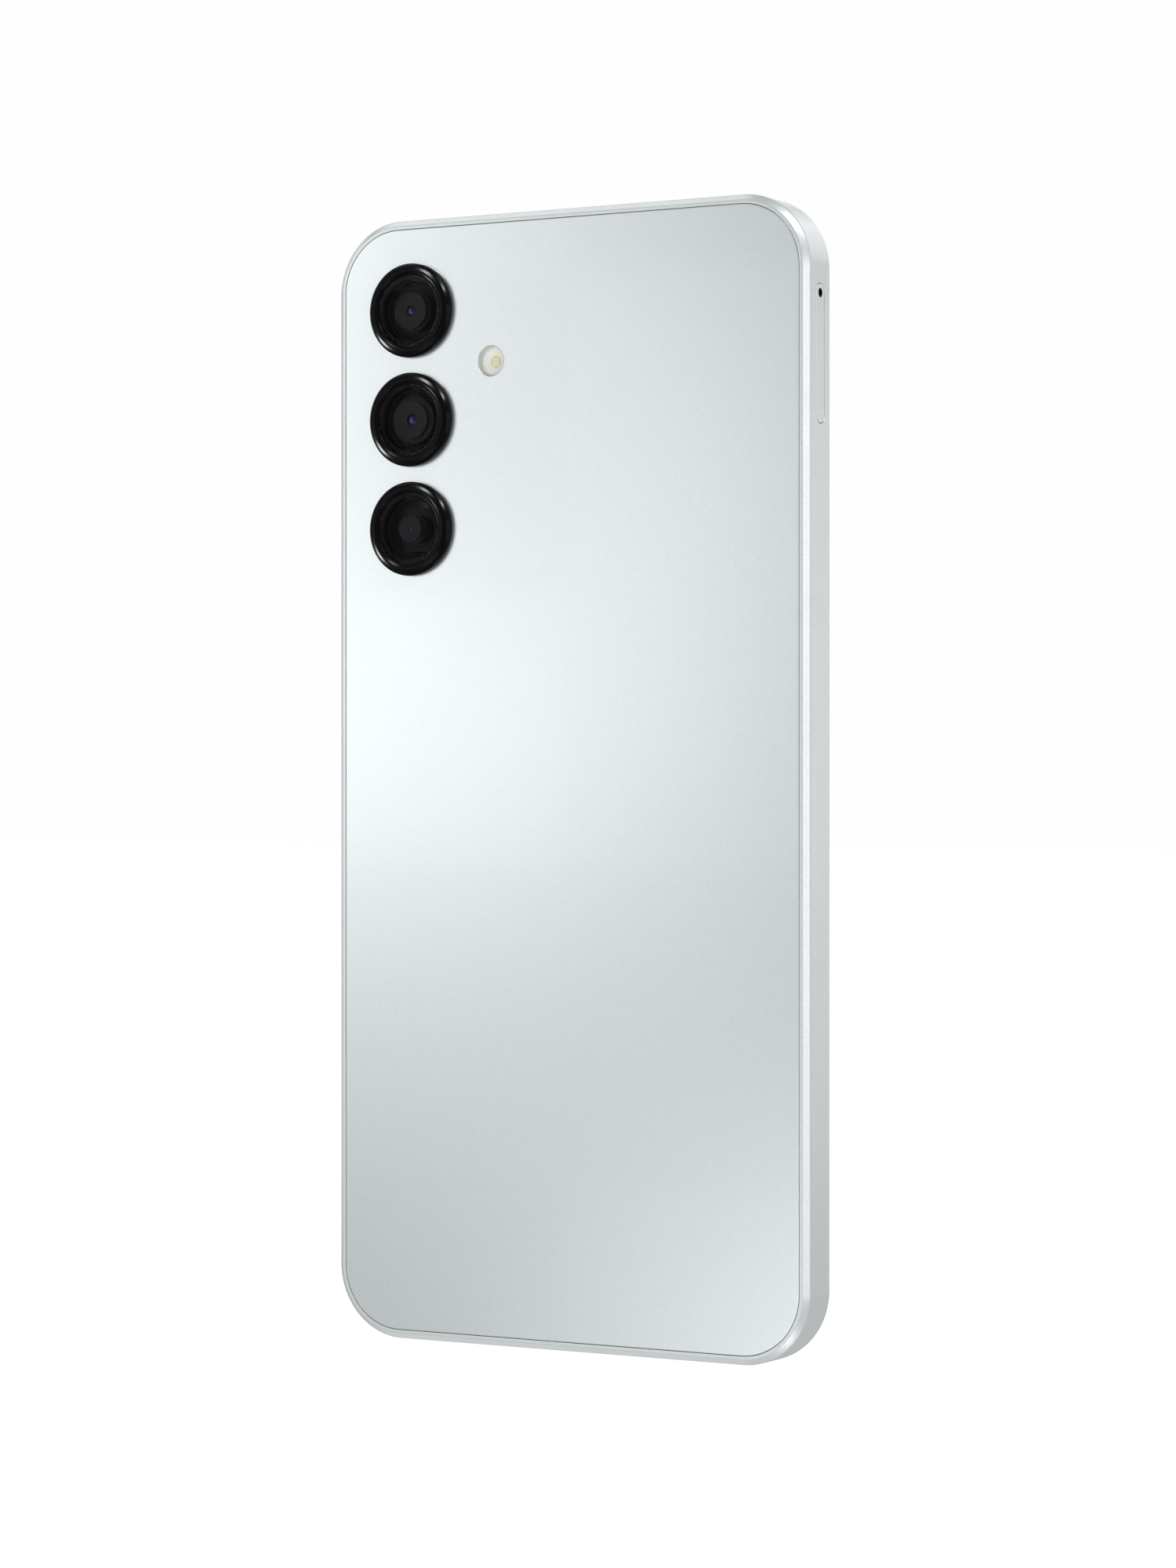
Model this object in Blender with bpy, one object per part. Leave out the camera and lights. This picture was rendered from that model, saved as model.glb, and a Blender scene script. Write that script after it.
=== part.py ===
"""A slab smartphone that stands on its bottom edge, built as its separate pieces.

Run it with: blender --background --python part.py, or from Blender's text editor.

Every number is in millimetres, and MM turns it to metres when a mesh is made.
X runs across the phone and Z up it. "Depth" runs through it: 0 at the rear cover's
face and THICKNESS at the display's face. The rear cover faces -Y.
"""

import math

import bmesh
import bpy
from mathutils import Matrix, Vector

MM = 0.001

# ---------------------------------------------------------------- driving sizes
WIDTH = 77.9
HEIGHT = 164.4
THICKNESS = 7.9
CORNER_RADIUS = 10.5
LENS_RISE = 1.35  # how far the lens rings stand off the rear cover
HALF = WIDTH / 2
MID_DEPTH = THICKNESS / 2
Y_BACK = (LENS_RISE - THICKNESS) / 2  # puts the middle of the whole depth at Y = 0

FIT = 0.1  # gap round a part that sits in another
CONTACT = 0.05  # gap between faces that rest on one another
CORNER_STEPS = 9  # flats in each quarter-round corner of a big outline
OVERCUT = 1.0  # how far a cutter runs past the face it opens

# side frame: a ring whose section is given as insets from the outline and depths
REAR_CHAMFER = 0.83
REAR_LIP_INSET = 1.33
COVER_THICKNESS = 0.8
COVER_LEDGE = 1.05
FRONT_CHAMFER = 0.83
FRONT_BAND_END = 6.8
FRONT_LIP_DEPTH = 7.7
FRONT_LIP_INSET = 1.2
GLASS_LEDGE = 7.1
GLASS_THICKNESS = 0.55
PLATE_STEP_INSET = 2.4
PLATE_STEP = 5.55
WALL = 3.0  # the frame's wall at its thickest, from the outline to the inner cavity
INNER = HALF - WALL
SHELF_INSET = WALL + 0.3  # the outline of boards and brackets

# middle plate and display
PLATE_BACK, PLATE_FRONT = 5.6, 5.95
PANEL_BACK, PANEL_FRONT = 6.25, 7.25
NOTCH_WIDTH, NOTCH_BOTTOM_Z = 5.6, 155.0
FLEX_BEND_Z = 29.9  # where the display's flex goes round the middle plate

# cameras and flash
LENS_X = -25.94
LENS_Z = {"ultrawide": 151.0, "main": 135.0, "macro": 119.0}
RING_RADIUS = 6.9
RING_NECK = 6.0
RING_BORE = 5.25
RING_WINDOW = 4.6
NECK_END = 0.95
FLASH_X, FLASH_Z, FLASH_RADIUS = -12.5, 143.0, 2.1
FRONT_CAMERA_Z = 157.6
CAMERA_BACK = 5.45  # the cameras' bodies stand on the middle plate, almost
# name: x, z, half the body's side, depth of the body's face, turret radius and its tip's depth
FIXED_CAMERAS = {
    "ultrawide_camera": (LENS_X, LENS_Z["ultrawide"], 4.2, 2.3, 3.0, 0.4),
    "macro_camera": (LENS_X, LENS_Z["macro"], 3.2, 2.6, 2.2, 0.4),
    "front_camera": (0.0, FRONT_CAMERA_Z, 3.0, 3.0, 1.9, 7.1),
}
HOUSING_HALF, HOUSING_FACE, FOCUS_BORE_END = 5.4, 2.2, 4.7
BARREL_RADIUS, BARREL_TIP, BARREL_END = 3.5, 0.45, 4.4

# card tray, on the +X side
TRAY_LENGTH, TRAY_WIDTH, TRAY_FACE = 19.5, 2.6, 1.1
TRAY_Z = 141.85  # middle of the tray's face
TRAY_BODY_Z = (132.9, 148.5)
TRAY_BODY_DEPTH = (3.4, 4.5)
TRAY_INNER_X = 11.5
TRAY_BODY_MIDDLE = sum(TRAY_BODY_Z) / 2
SEAL_X, SEAL_SIZE = (36.7, 37.4), (TRAY_BODY_Z[1] - TRAY_BODY_Z[0] + 1.2, 2.0)
# name: nearest x, length along X, width along Z, which are the cards' standard sizes
CARD_POCKETS = {"memory_card_pocket": (12.2, 15.0, 11.0), "sim_card_pocket": (27.7, 8.8, 12.3)}
SOCKET_X, SOCKET_BACK = (12.0, 35.6), 3.0
EJECT_Z, EJECT_RADIUS, ROD_RADIUS = 150.3, 0.6, 0.4
LEVER_X, LEVER_Z, LEVER_HALF_WIDTH = 9.35, 146.2, 0.55
LEVER_DEPTH = (3.5, 4.4)

# keys, on the -X side
ISLAND_Z = (101.5, 141.5)
ISLAND_RISE, ISLAND_WIDTH = 0.35, 3.6
KEY_RISE = 0.3  # how far a key stands off the island
KEY_WIDTH = 2.3
KEY_GAP = 0.15
POWER_Z, POWER_LENGTH = 109.5, 11.0
VOLUME_Z, VOLUME_LENGTH = 128.0, 20.0
NUB_OFFSET = 7.0  # the volume key's two nubs, from its middle
FLANGE_X, NUB_X, NUB_TIP_X = -37.2, -36.7, -36.2
RECESS_X = -37.6
FLANGE_BORDER = (1.6, 0.8)  # how much longer and wider than its key a flange is
SWITCH_BOARD_X, SWITCH_BOARD_Z = (-35.42, -35.1), (103.0, 140.0)

# bottom edge
USB_OPENING = (9.1, 3.3)
USB_OUTSIDE = (8.9, 3.1)
USB_INSIDE = (8.34, 2.56)
USB_Z = (0.5, 7.6)
SPEAKER_SLOT = (3.0, 1.1)
SPEAKER_SLOTS_X = [-27.0 + 4.1 * i for i in range(4)]
MIC_RADIUS = 0.5
BOTTOM_MIC_X, TOP_MIC_X = 12.0, 24.0
MIC_HALF = 1.5
SPEAKER_POCKET = (-29.2, -12.8, 9.0, 20.0)
SPEAKER_RIGHT, SPEAKER_TOP = -10.4, 24.6

# boards, battery and motor
BOARD_BACK, BOARD_FRONT = 4.85, 5.5
ON_BOARD = BOARD_BACK - CONTACT  # the depth where parts stand on a board
BOARD_TOP_FLOOR, SUB_BOARD_TOP = 115.2, 28.4
BATTERY_HALF, BATTERY_Z, BATTERY_DEPTH = 33.0, (31.0, 111.0), (1.5, 5.45)
MAIN_FLEX_X, DISPLAY_FLEX_X = (-6.0, 4.0), (11.0, 22.0)
MOTOR_X, MOTOR_Z, MOTOR_RADIUS, MOTOR_FACE = 24.0, 15.5, 4.5, 2.2
SHEET = 0.25  # thickness of formed sheet metal

# screws: the head sits in a counterbore of the bracket, the shank in a boss of the plate
HEAD_RADIUS, HEAD_DEPTH = 1.2, (1.07, 1.45)
SHANK_RADIUS, SHANK_TIP = 0.55, 4.6
BOSS_RADIUS, BOSS_BORE = 1.4, 0.65
BRACKET_BACK, BRACKET_SEAT, BRACKET_FRONT = 1.05, 1.5, 1.95
UPPER_SCREWS = ((-17.2, 158.0), (31.0, 156.6), (32.6, 127.6), (-12.8, 117.2))
LOWER_SCREWS = ((-32.6, 26.6), (-8.0, 26.6), (30.4, 26.6))


# ---------------------------------------------------------------- finishes
def hex_to_linear(text):
    channels = [int(text[i : i + 2], 16) / 255 for i in (0, 2, 4)]
    return [c / 12.92 if c <= 0.04045 else ((c + 0.055) / 1.055) ** 2.4 for c in channels]


def finish(colour, roughness, metallic=0.0):
    """A function that makes this finish as a new material for one object."""

    def make(name):
        material = bpy.data.materials.new(name + "_finish")
        material.use_nodes = True
        shader = material.node_tree.nodes["Principled BSDF"]
        shader.inputs["Base Color"].default_value = [*hex_to_linear(colour), 1.0]
        shader.inputs["Roughness"].default_value = roughness
        shader.inputs["Metallic"].default_value = metallic
        material.diffuse_color = [*hex_to_linear(colour), 1.0]
        return material

    return make


SATIN_SILVER = finish("C9CDCD", 0.35, 0.6)
PEARL_SILVER = finish("D3D8D9", 0.15)
BLACK_RING = finish("0B0B0C", 0.25, 0.8)
LENS_GLASS = finish("101014", 0.05)
CLEAR_WINDOW = finish("E9E9DC", 0.1)
PHOSPHOR = finish("E6DE7A", 0.5)
BLACK_PLASTIC = finish("1B1B1D", 0.5)
DARK_GLASS = finish("08090B", 0.05)
BLACK_TAPE = finish("1C1C1D", 0.8)
ORANGE_FLEX = finish("8A5A1E", 0.5)
GREEN_BOARD = finish("1F3A2B", 0.5)
BRIGHT_TIN = finish("B4B6B5", 0.35, 1.0)
CAST_METAL = finish("9A9C9E", 0.4, 1.0)
BATTERY_FOIL = finish("2B2C2E", 0.45, 0.3)
STEEL = finish("A8A9AA", 0.3, 1.0)
GREY_RUBBER = finish("5A5C5E", 0.8)
DARK_MESH = finish("2A2B2C", 0.6, 0.8)


# ---------------------------------------------------------------- making shapes
def new_object(name, bm, material=None):
    """One mesh object from bm, whose points are in millimetres."""
    bmesh.ops.remove_doubles(bm, verts=bm.verts, dist=1e-4)
    bmesh.ops.recalc_face_normals(bm, faces=bm.faces)
    bmesh.ops.scale(bm, vec=(MM, MM, MM), verts=bm.verts)
    mesh = bpy.data.meshes.new(name)
    bm.to_mesh(mesh)
    bm.free()
    mesh.shade_smooth()
    mesh.set_sharp_from_angle(angle=math.radians(35))
    obj = bpy.data.objects.new(name, mesh)
    bpy.context.scene.collection.objects.link(obj)
    if material:
        mesh.materials.append(material(name))
    return obj


def arc(cx, cz, radius, start, end, steps=CORNER_STEPS):
    """Points along an arc, from one angle in degrees to the other."""
    angles = [math.radians(start + (end - start) * i / steps) for i in range(steps + 1)]
    return [(cx + radius * math.cos(a), cz + radius * math.sin(a)) for a in angles]


def rounded_rectangle(x0, x1, z0, z1, radius, steps=CORNER_STEPS):
    """Points of a rectangle with quarter-round corners, anticlockwise."""
    return (
        arc(x1 - radius, z1 - radius, radius, 0, 90, steps)
        + arc(x0 + radius, z1 - radius, radius, 90, 180, steps)
        + arc(x0 + radius, z0 + radius, radius, 180, 270, steps)
        + arc(x1 - radius, z0 + radius, radius, 270, 360, steps)
    )


def rectangle(x0, x1, z0, z1):
    return [(x1, z1), (x0, z1), (x0, z0), (x1, z0)]


def phone_outline(inset):
    """The phone's outline, taken in by inset all round."""
    half = HALF - inset
    return rounded_rectangle(-half, half, inset, HEIGHT - inset, CORNER_RADIUS - inset)


def end_outline(inset, z_edge, top):
    """The part of that outline above z_edge if top, or below it if not."""
    half = HALF - inset
    radius = CORNER_RADIUS - inset
    x = half - radius
    if top:
        z = HEIGHT - inset - radius
        return arc(x, z, radius, 0, 90) + arc(-x, z, radius, 90, 180) + [(-half, z_edge), (half, z_edge)]
    z = inset + radius
    return arc(-x, z, radius, 180, 270) + arc(x, z, radius, 270, 360) + [(half, z_edge), (-half, z_edge)]


def loft(bm, loops, closed=False):
    """Skins equal loops of points. A closed run joins its last loop to its first."""
    rings = [[bm.verts.new(p) for p in loop] for loop in loops]
    pairs = list(zip(rings, rings[1:]))
    if closed:
        pairs.append((rings[-1], rings[0]))
    else:
        bm.faces.new(rings[0])
        bm.faces.new(rings[-1])
    for low, high in pairs:
        for i in range(len(low)):
            j = (i + 1) % len(low)
            bm.faces.new((low[i], low[j], high[j], high[i]))


def plate(name, outline, depth_0, depth_1, material=None):
    """A flat piece: an outline in X and Z, extruded through the phone."""
    bm = bmesh.new()
    loft(bm, [[(x, Y_BACK + depth, z) for x, z in outline] for depth in (depth_0, depth_1)])
    return new_object(name, bm, material)


def block(name, x, depth, z, material=None):
    """A rectangular block between the two values of each."""
    return plate(name, rectangle(*x, *z), *depth, material)


def square_post(name, x, z, half, depth, material=None):
    """A square block about the line through (x, z) along Y."""
    return block(name, (x - half, x + half), depth, (z - half, z + half), material)


def frame_ring(name, section, material=None):
    """A ring that follows the phone's outline. section lists its (inset, depth) corners."""
    bm = bmesh.new()
    loops = [[(x, Y_BACK + depth, z) for x, z in phone_outline(inset)] for inset, depth in section]
    loft(bm, loops, closed=True)
    return new_object(name, bm, material)


def flat_ring(name, inset_0, inset_1, depth_0, depth_1, material):
    """A flat strip round the phone, such as a bead of tape."""
    section = ((inset_0, depth_0), (inset_1, depth_0), (inset_1, depth_1), (inset_0, depth_1))
    return frame_ring(name, section, material)


def turned(name, profile, x, z, material=None, steps=24, hollow=False):
    """A turned piece about the line through (x, z) along Y. profile lists (radius, depth)."""
    bm = bmesh.new()
    loops = []
    for radius, depth in profile:
        circle = arc(x, z, radius, 0, 360, steps)[:-1]
        loops.append([(cx, Y_BACK + depth, cz) for cx, cz in circle])
    loft(bm, loops, closed=hollow)
    return new_object(name, bm, material)


def slot_outline(along, across, length, width, steps=6):
    """A slot with full-round ends, its length on the first axis."""
    return (
        arc(along + (length - width) / 2, across, width / 2, -90, 90, steps)
        + arc(along - (length - width) / 2, across, width / 2, 90, 270, steps)
    )


def side_slots(name, sections, z, depth, material=None, steps=6):
    """Slot shapes stacked along X, long in Z. sections lists (x, length, width)."""
    bm = bmesh.new()
    loops = []
    for x, length, width in sections:
        outline = slot_outline(z, Y_BACK + depth, length, width, steps)
        loops.append([(x, across, along) for along, across in outline])
    loft(bm, loops)
    return new_object(name, bm, material)


def end_slot(name, x, depth, size, z, material=None, steps=6):
    """A slot shape of size (length, width), long in X, extruded between the two values of z."""
    outline = slot_outline(x, Y_BACK + depth, *size, steps)
    bm = bmesh.new()
    loft(bm, [[(along, across, height) for along, across in outline] for height in z])
    return new_object(name, bm, material)


def rod_along_x(name, x, radius, z, material=None):
    """A round rod between the two values of x, drawn as a slot that is hardly longer than wide."""
    sections = [(end, 2 * radius + 1e-3, 2 * radius) for end in x]
    return side_slots(name, sections, z, MID_DEPTH, material)


def ribbon(name, path, x, thickness, material):
    """A flat flexible strip between the two values of x. path lists its (depth, z) middle line."""
    sides = ([], [])
    for i, point in enumerate(path):
        before = Vector(path[max(i - 1, 0)])
        after = Vector(path[min(i + 1, len(path) - 1)])
        along = (after - before).normalized()
        across = Vector((-along.y, along.x)) * thickness / 2
        sides[0].append(Vector(point) + across)
        sides[1].append(Vector(point) - across)
    outline = sides[0] + sides[1][::-1]
    bm = bmesh.new()
    loft(bm, [[(end, Y_BACK + p.x, p.y) for p in outline] for end in x])
    return new_object(name, bm, material)


def combine(obj, others, operation):
    """Cuts other objects from obj or joins them to it. They are left out of the model themselves."""
    for other in others:
        modifier = obj.modifiers.new(other.name, "BOOLEAN")
        modifier.operation = operation
        modifier.solver = "EXACT"
        modifier.object = other
        other.hide_render = True
        other.display_type = "WIRE"
    return obj


def cut(obj, *cutters):
    return combine(obj, cutters, "DIFFERENCE")


def join(obj, *others):
    return combine(obj, others, "UNION")


def put_origin(obj, x, depth, z):
    """Moves the object's origin to a point, such as one on its joint's axis."""
    origin = Vector((x, Y_BACK + depth, z)) * MM
    obj.data.transform(Matrix.Translation(-origin))
    obj.location = origin
    return obj


def bore(name, radius, x, z, depth=(-3.0, THICKNESS + OVERCUT), steps=24):
    """A round cutter along Y."""
    return turned(name, [(radius, d) for d in depth], x, z, steps=steps)


# ---------------------------------------------------------------- side frame
def key_cutters(name, z, length):
    """The key's own slot through the wall, and the wider recess for its flange behind."""
    inside_x = -INNER + OVERCUT
    slot_size = (length + 2 * KEY_GAP, KEY_WIDTH + 2 * KEY_GAP)
    recess_size = [side + border + 0.6 for side, border in zip((length, KEY_WIDTH), FLANGE_BORDER)]
    slot = side_slots(f"{name}_slot", [(x, *slot_size) for x in (-HALF - OVERCUT, inside_x)], z, MID_DEPTH)
    recess = side_slots(f"{name}_recess", [(x, *recess_size) for x in (RECESS_X, inside_x)], z, MID_DEPTH)
    return slot, recess


def make_key_island():
    """The low, raised area that both keys stand in, with a ramp all round it."""
    length, ramp = ISLAND_Z[1] - ISLAND_Z[0], 1.2
    sections = [
        (-HALF + 0.5, length, ISLAND_WIDTH),
        (-HALF, length, ISLAND_WIDTH),
        (-HALF - ISLAND_RISE, length - ramp, ISLAND_WIDTH - ramp / 2),
    ]
    return side_slots("key_island", sections, sum(ISLAND_Z) / 2, MID_DEPTH)


def make_side_frame():
    section = (
        (REAR_LIP_INSET, 0.0),
        (REAR_CHAMFER, 0.0),
        (0.0, REAR_CHAMFER),
        (0.0, FRONT_BAND_END),
        (FRONT_CHAMFER, FRONT_LIP_DEPTH),
        (FRONT_LIP_INSET, FRONT_LIP_DEPTH),
        (FRONT_LIP_INSET, GLASS_LEDGE),
        (PLATE_STEP_INSET, GLASS_LEDGE),
        (PLATE_STEP_INSET, PLATE_STEP),
        (WALL, PLATE_STEP),
        (WALL, COVER_LEDGE),
        (REAR_LIP_INSET, COVER_LEDGE),
    )
    frame = frame_ring("side_frame", section, SATIN_SILVER)
    join(frame, make_key_island())
    cut(frame, *key_cutters("power", POWER_Z, POWER_LENGTH))
    cut(frame, *key_cutters("volume", VOLUME_Z, VOLUME_LENGTH))
    face_x = (HALF - TRAY_FACE - 2 * FIT, HALF + OVERCUT)
    face_size = (TRAY_LENGTH + 2 * FIT, TRAY_WIDTH + 2 * FIT)
    tray_face = side_slots("tray_face_slot", [(x, *face_size) for x in face_x], TRAY_Z, MID_DEPTH, steps=10)
    body_size = (SEAL_SIZE[0] + 4 * FIT, SEAL_SIZE[1] + 3 * FIT)
    body_sections = [(x, *body_size) for x in (INNER - OVERCUT, HALF)]
    tray_body = side_slots("tray_body_slot", body_sections, TRAY_BODY_MIDDLE, MID_DEPTH)
    rod_hole = rod_along_x("rod_hole", (INNER - OVERCUT, HALF), ROD_RADIUS + FIT, EJECT_Z)
    cut(frame, tray_face, tray_body, rod_hole)
    through = (-OVERCUT, WALL + OVERCUT)
    cut(frame, end_slot("usb_opening", 0.0, MID_DEPTH, USB_OPENING, through, steps=8))
    for i, x in enumerate(SPEAKER_SLOTS_X):
        cut(frame, end_slot(f"speaker_slot_{i}", x, MID_DEPTH, SPEAKER_SLOT, through, steps=5))
    mic_hole = (2 * MIC_RADIUS + 1e-3, 2 * MIC_RADIUS)
    cut(frame, end_slot("bottom_mic_hole", BOTTOM_MIC_X, MID_DEPTH, mic_hole, through))
    top = (HEIGHT - WALL - OVERCUT, HEIGHT + OVERCUT)
    cut(frame, end_slot("top_mic_hole", TOP_MIC_X, MID_DEPTH, mic_hole, top))


# ---------------------------------------------------------------- rear cover, lenses and flash
def make_rear_cover():
    cover = plate("rear_cover", phone_outline(REAR_LIP_INSET + FIT), 0.0, COVER_THICKNESS, PEARL_SILVER)
    for name, z in LENS_Z.items():
        cut(cover, bore(f"{name}_cover_hole", RING_NECK + FIT, LENS_X, z, steps=32))
    cut(cover, bore("flash_cover_hole", FLASH_RADIUS + FIT, FLASH_X, FLASH_Z))
    flat_ring("rear_cover_tape", 1.6, 2.8, COVER_THICKNESS + CONTACT, COVER_LEDGE - CONTACT, BLACK_TAPE)


def make_lens_rings():
    glass_seat = -0.6
    profile = (
        (RING_RADIUS, -CONTACT),
        (RING_RADIUS, -LENS_RISE + 0.3),
        (RING_RADIUS - 0.35, -LENS_RISE),
        (RING_BORE + 0.2, -LENS_RISE),
        (RING_BORE, -LENS_RISE + 0.2),
        (RING_BORE, glass_seat),
        (RING_WINDOW, glass_seat),
        (RING_WINDOW, NECK_END),
        (RING_NECK, NECK_END),
        (RING_NECK, -CONTACT),
    )
    glass_radius = RING_BORE - FIT
    glass = ((glass_radius, -LENS_RISE + 0.25), (glass_radius, glass_seat - CONTACT))
    for name, z in LENS_Z.items():
        turned(f"lens_ring_{name}", profile, LENS_X, z, BLACK_RING, steps=32, hollow=True)
        turned(f"lens_glass_{name}", glass, LENS_X, z, LENS_GLASS, steps=32)


def make_flash():
    flange = FLASH_RADIUS + 0.7
    window = (
        (FLASH_RADIUS, 0.0),
        (FLASH_RADIUS, COVER_THICKNESS + CONTACT),
        (flange, COVER_THICKNESS + CONTACT),
        (flange, COVER_THICKNESS + 0.2),
        (FLASH_RADIUS - 0.4, COVER_THICKNESS + 0.2),
        (FLASH_RADIUS - 0.4, 0.45),
    )
    turned("flash_window", window, FLASH_X, FLASH_Z, CLEAR_WINDOW)
    lamp, carrier = 0.8, 1.5  # half the sides of the lamp and of the post that it stands on
    led = square_post("flash_led", FLASH_X, FLASH_Z, lamp, (1.2, 1.75), PHOSPHOR)
    join(led, square_post("flash_post", FLASH_X, FLASH_Z, carrier, (1.6, ON_BOARD)))


def make_cameras():
    for name, (x, z, half, face, turret_radius, turret_tip) in FIXED_CAMERAS.items():
        body = square_post(name, x, z, half, (face, CAMERA_BACK), BLACK_PLASTIC)
        turret_depths = (turret_tip, (face + CAMERA_BACK) / 2)
        join(body, turned(f"{name}_turret", [(turret_radius, depth) for depth in turret_depths], x, z))
    x, z = LENS_X, LENS_Z["main"]
    housing = square_post("main_camera_housing", x, z, HOUSING_HALF, (HOUSING_FACE, CAMERA_BACK), BLACK_PLASTIC)
    cut(housing, bore("focus_bore", BARREL_RADIUS + FIT, x, z, (HOUSING_FACE - OVERCUT, FOCUS_BORE_END)))
    rim, lens_recess = 0.7, 0.3
    profile = (
        (BARREL_RADIUS - rim, BARREL_TIP + lens_recess),
        (BARREL_RADIUS - rim, BARREL_TIP),
        (BARREL_RADIUS, BARREL_TIP),
        (BARREL_RADIUS, BARREL_END),
    )
    put_origin(turned("main_camera_barrel", profile, x, z, BLACK_PLASTIC), x, BARREL_END, z)


# ---------------------------------------------------------------- middle plate and display
def make_mid_plate():
    outline = phone_outline(PLATE_STEP_INSET + CONTACT)
    mid_plate = plate("mid_plate", outline, PLATE_BACK, PLATE_FRONT, CAST_METAL)
    screws = UPPER_SCREWS + LOWER_SCREWS
    boss_depth = (BRACKET_FRONT + CONTACT, (PLATE_BACK + PLATE_FRONT) / 2)
    bore_depth = (BRACKET_FRONT - OVERCUT, SHANK_TIP + 0.4)
    for i, (x, z) in enumerate(screws):
        join(mid_plate, turned(f"boss_{i}", [(BOSS_RADIUS, depth) for depth in boss_depth], x, z, steps=16))
    for i, (x, z) in enumerate(screws):
        cut(mid_plate, bore(f"boss_bore_{i}", BOSS_BORE, x, z, bore_depth, steps=12))
    cut(mid_plate, bore("front_camera_hole", FIXED_CAMERAS["front_camera"][4] + 0.4, 0.0, FRONT_CAMERA_Z))
    flex_middle = sum(DISPLAY_FLEX_X) / 2
    flex_slot = slot_outline(flex_middle, FLEX_BEND_Z, DISPLAY_FLEX_X[1] - DISPLAY_FLEX_X[0] + 2.0, 2.0)
    cut(mid_plate, plate("display_flex_slot", flex_slot, PLATE_BACK - OVERCUT, PLATE_FRONT + OVERCUT))


def make_display():
    panel_inset = PLATE_STEP_INSET + 0.25
    panel = plate("display_panel", phone_outline(panel_inset), PANEL_BACK, PANEL_FRONT, DARK_GLASS)
    radius = NOTCH_WIDTH / 2
    notch = arc(0.0, NOTCH_BOTTOM_Z + radius, radius, 180, 360) + [(radius, HEIGHT), (-radius, HEIGHT)]
    cut(panel, plate("panel_notch", notch, PANEL_BACK - OVERCUT, PANEL_FRONT + OVERCUT))
    inset = FRONT_LIP_INSET + FIT
    edge = 0.2
    bm = bmesh.new()
    section = ((inset, THICKNESS - GLASS_THICKNESS), (inset, THICKNESS - edge), (inset + edge, THICKNESS))
    loft(bm, [[(x, Y_BACK + depth, z) for x, z in phone_outline(i)] for i, depth in section])
    glass = new_object("display_glass", bm, DARK_GLASS)
    slit_z = HEIGHT - inset - 0.3
    slit = plate("earpiece_slit", slot_outline(0.0, slit_z, 11.0, 1.4), GLASS_LEDGE, THICKNESS + OVERCUT)
    cut(glass, slit)
    mesh_outline = slot_outline(0.0, slit_z - 0.15, 10.6, 0.8)
    plate("earpiece_mesh", mesh_outline, THICKNESS - GLASS_THICKNESS - 0.1, THICKNESS - 0.25, DARK_MESH)
    bead = (FRONT_LIP_INSET + 0.15, PLATE_STEP_INSET - 0.1)
    flat_ring("display_tape", *bead, GLASS_LEDGE + CONTACT, THICKNESS - GLASS_THICKNESS - 0.15, BLACK_TAPE)
    back = (PLATE_FRONT + PANEL_BACK) / 2
    socket_depth = BOARD_BACK - 0.35
    path = (
        (back, 12.0),
        (back, FLEX_BEND_Z - 1.3),
        (back - 0.3, FLEX_BEND_Z - 0.4),
        (5.2, FLEX_BEND_Z + 0.1),
        (4.7, FLEX_BEND_Z - 0.3),
        (socket_depth, FLEX_BEND_Z - 1.3),
        (socket_depth, 23.4),
    )
    ribbon("display_flex", path, DISPLAY_FLEX_X, 0.12, ORANGE_FLEX)


# ---------------------------------------------------------------- boards, battery and cables
def cut_boss_clearances(board, screws):
    for i, (x, z) in enumerate(screws):
        cut(board, bore(f"{board.name}_boss_clearance_{i}", BOSS_RADIUS + 2 * FIT, x, z, steps=16))


def make_main_board():
    half = HALF - SHELF_INSET
    radius = CORNER_RADIUS - SHELF_INSET
    top = HEIGHT - SHELF_INSET
    edge_x = -15.0
    corner = arc(half - radius, top - radius, radius, 0, 90)
    outline = corner + [(edge_x, top), (edge_x, BOARD_TOP_FLOOR), (half, BOARD_TOP_FLOOR)]
    board = plate("main_board", outline, BOARD_BACK, BOARD_FRONT, GREEN_BOARD)
    cut_boss_clearances(board, [s for s in UPPER_SCREWS if s[0] > edge_x])
    through = (BOARD_BACK - OVERCUT, BOARD_FRONT + OVERCUT)
    notch_half = FIXED_CAMERAS["front_camera"][2] + 3 * FIT
    notch_z = (FRONT_CAMERA_Z - notch_half, HEIGHT)
    cut(board, block("front_camera_notch", (-notch_half, notch_half), through, notch_z))
    can_x, can_face, can_z = (-14.0, 7.0), 3.3, (119.6, 138.8)
    can = block("processor_shield", can_x, (can_face, ON_BOARD), can_z, BRIGHT_TIN)
    inside_x = (can_x[0] + SHEET, can_x[1] - SHEET)
    inside_z = (can_z[0] + SHEET, can_z[1] - SHEET)
    cut(can, block("shield_inside", inside_x, (can_face + SHEET, ON_BOARD + OVERCUT), inside_z))
    mic_x = (TOP_MIC_X - MIC_HALF, TOP_MIC_X + MIC_HALF)
    block("top_microphone", mic_x, (3.7, ON_BOARD), (top - 2.9, top - 0.5), BRIGHT_TIN)
    receiver = rounded_rectangle(-14.2, -4.2, 153.4, 160.2, 1.2, 4)
    plate("earpiece_receiver", receiver, 2.5, ON_BOARD, BLACK_PLASTIC)


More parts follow.
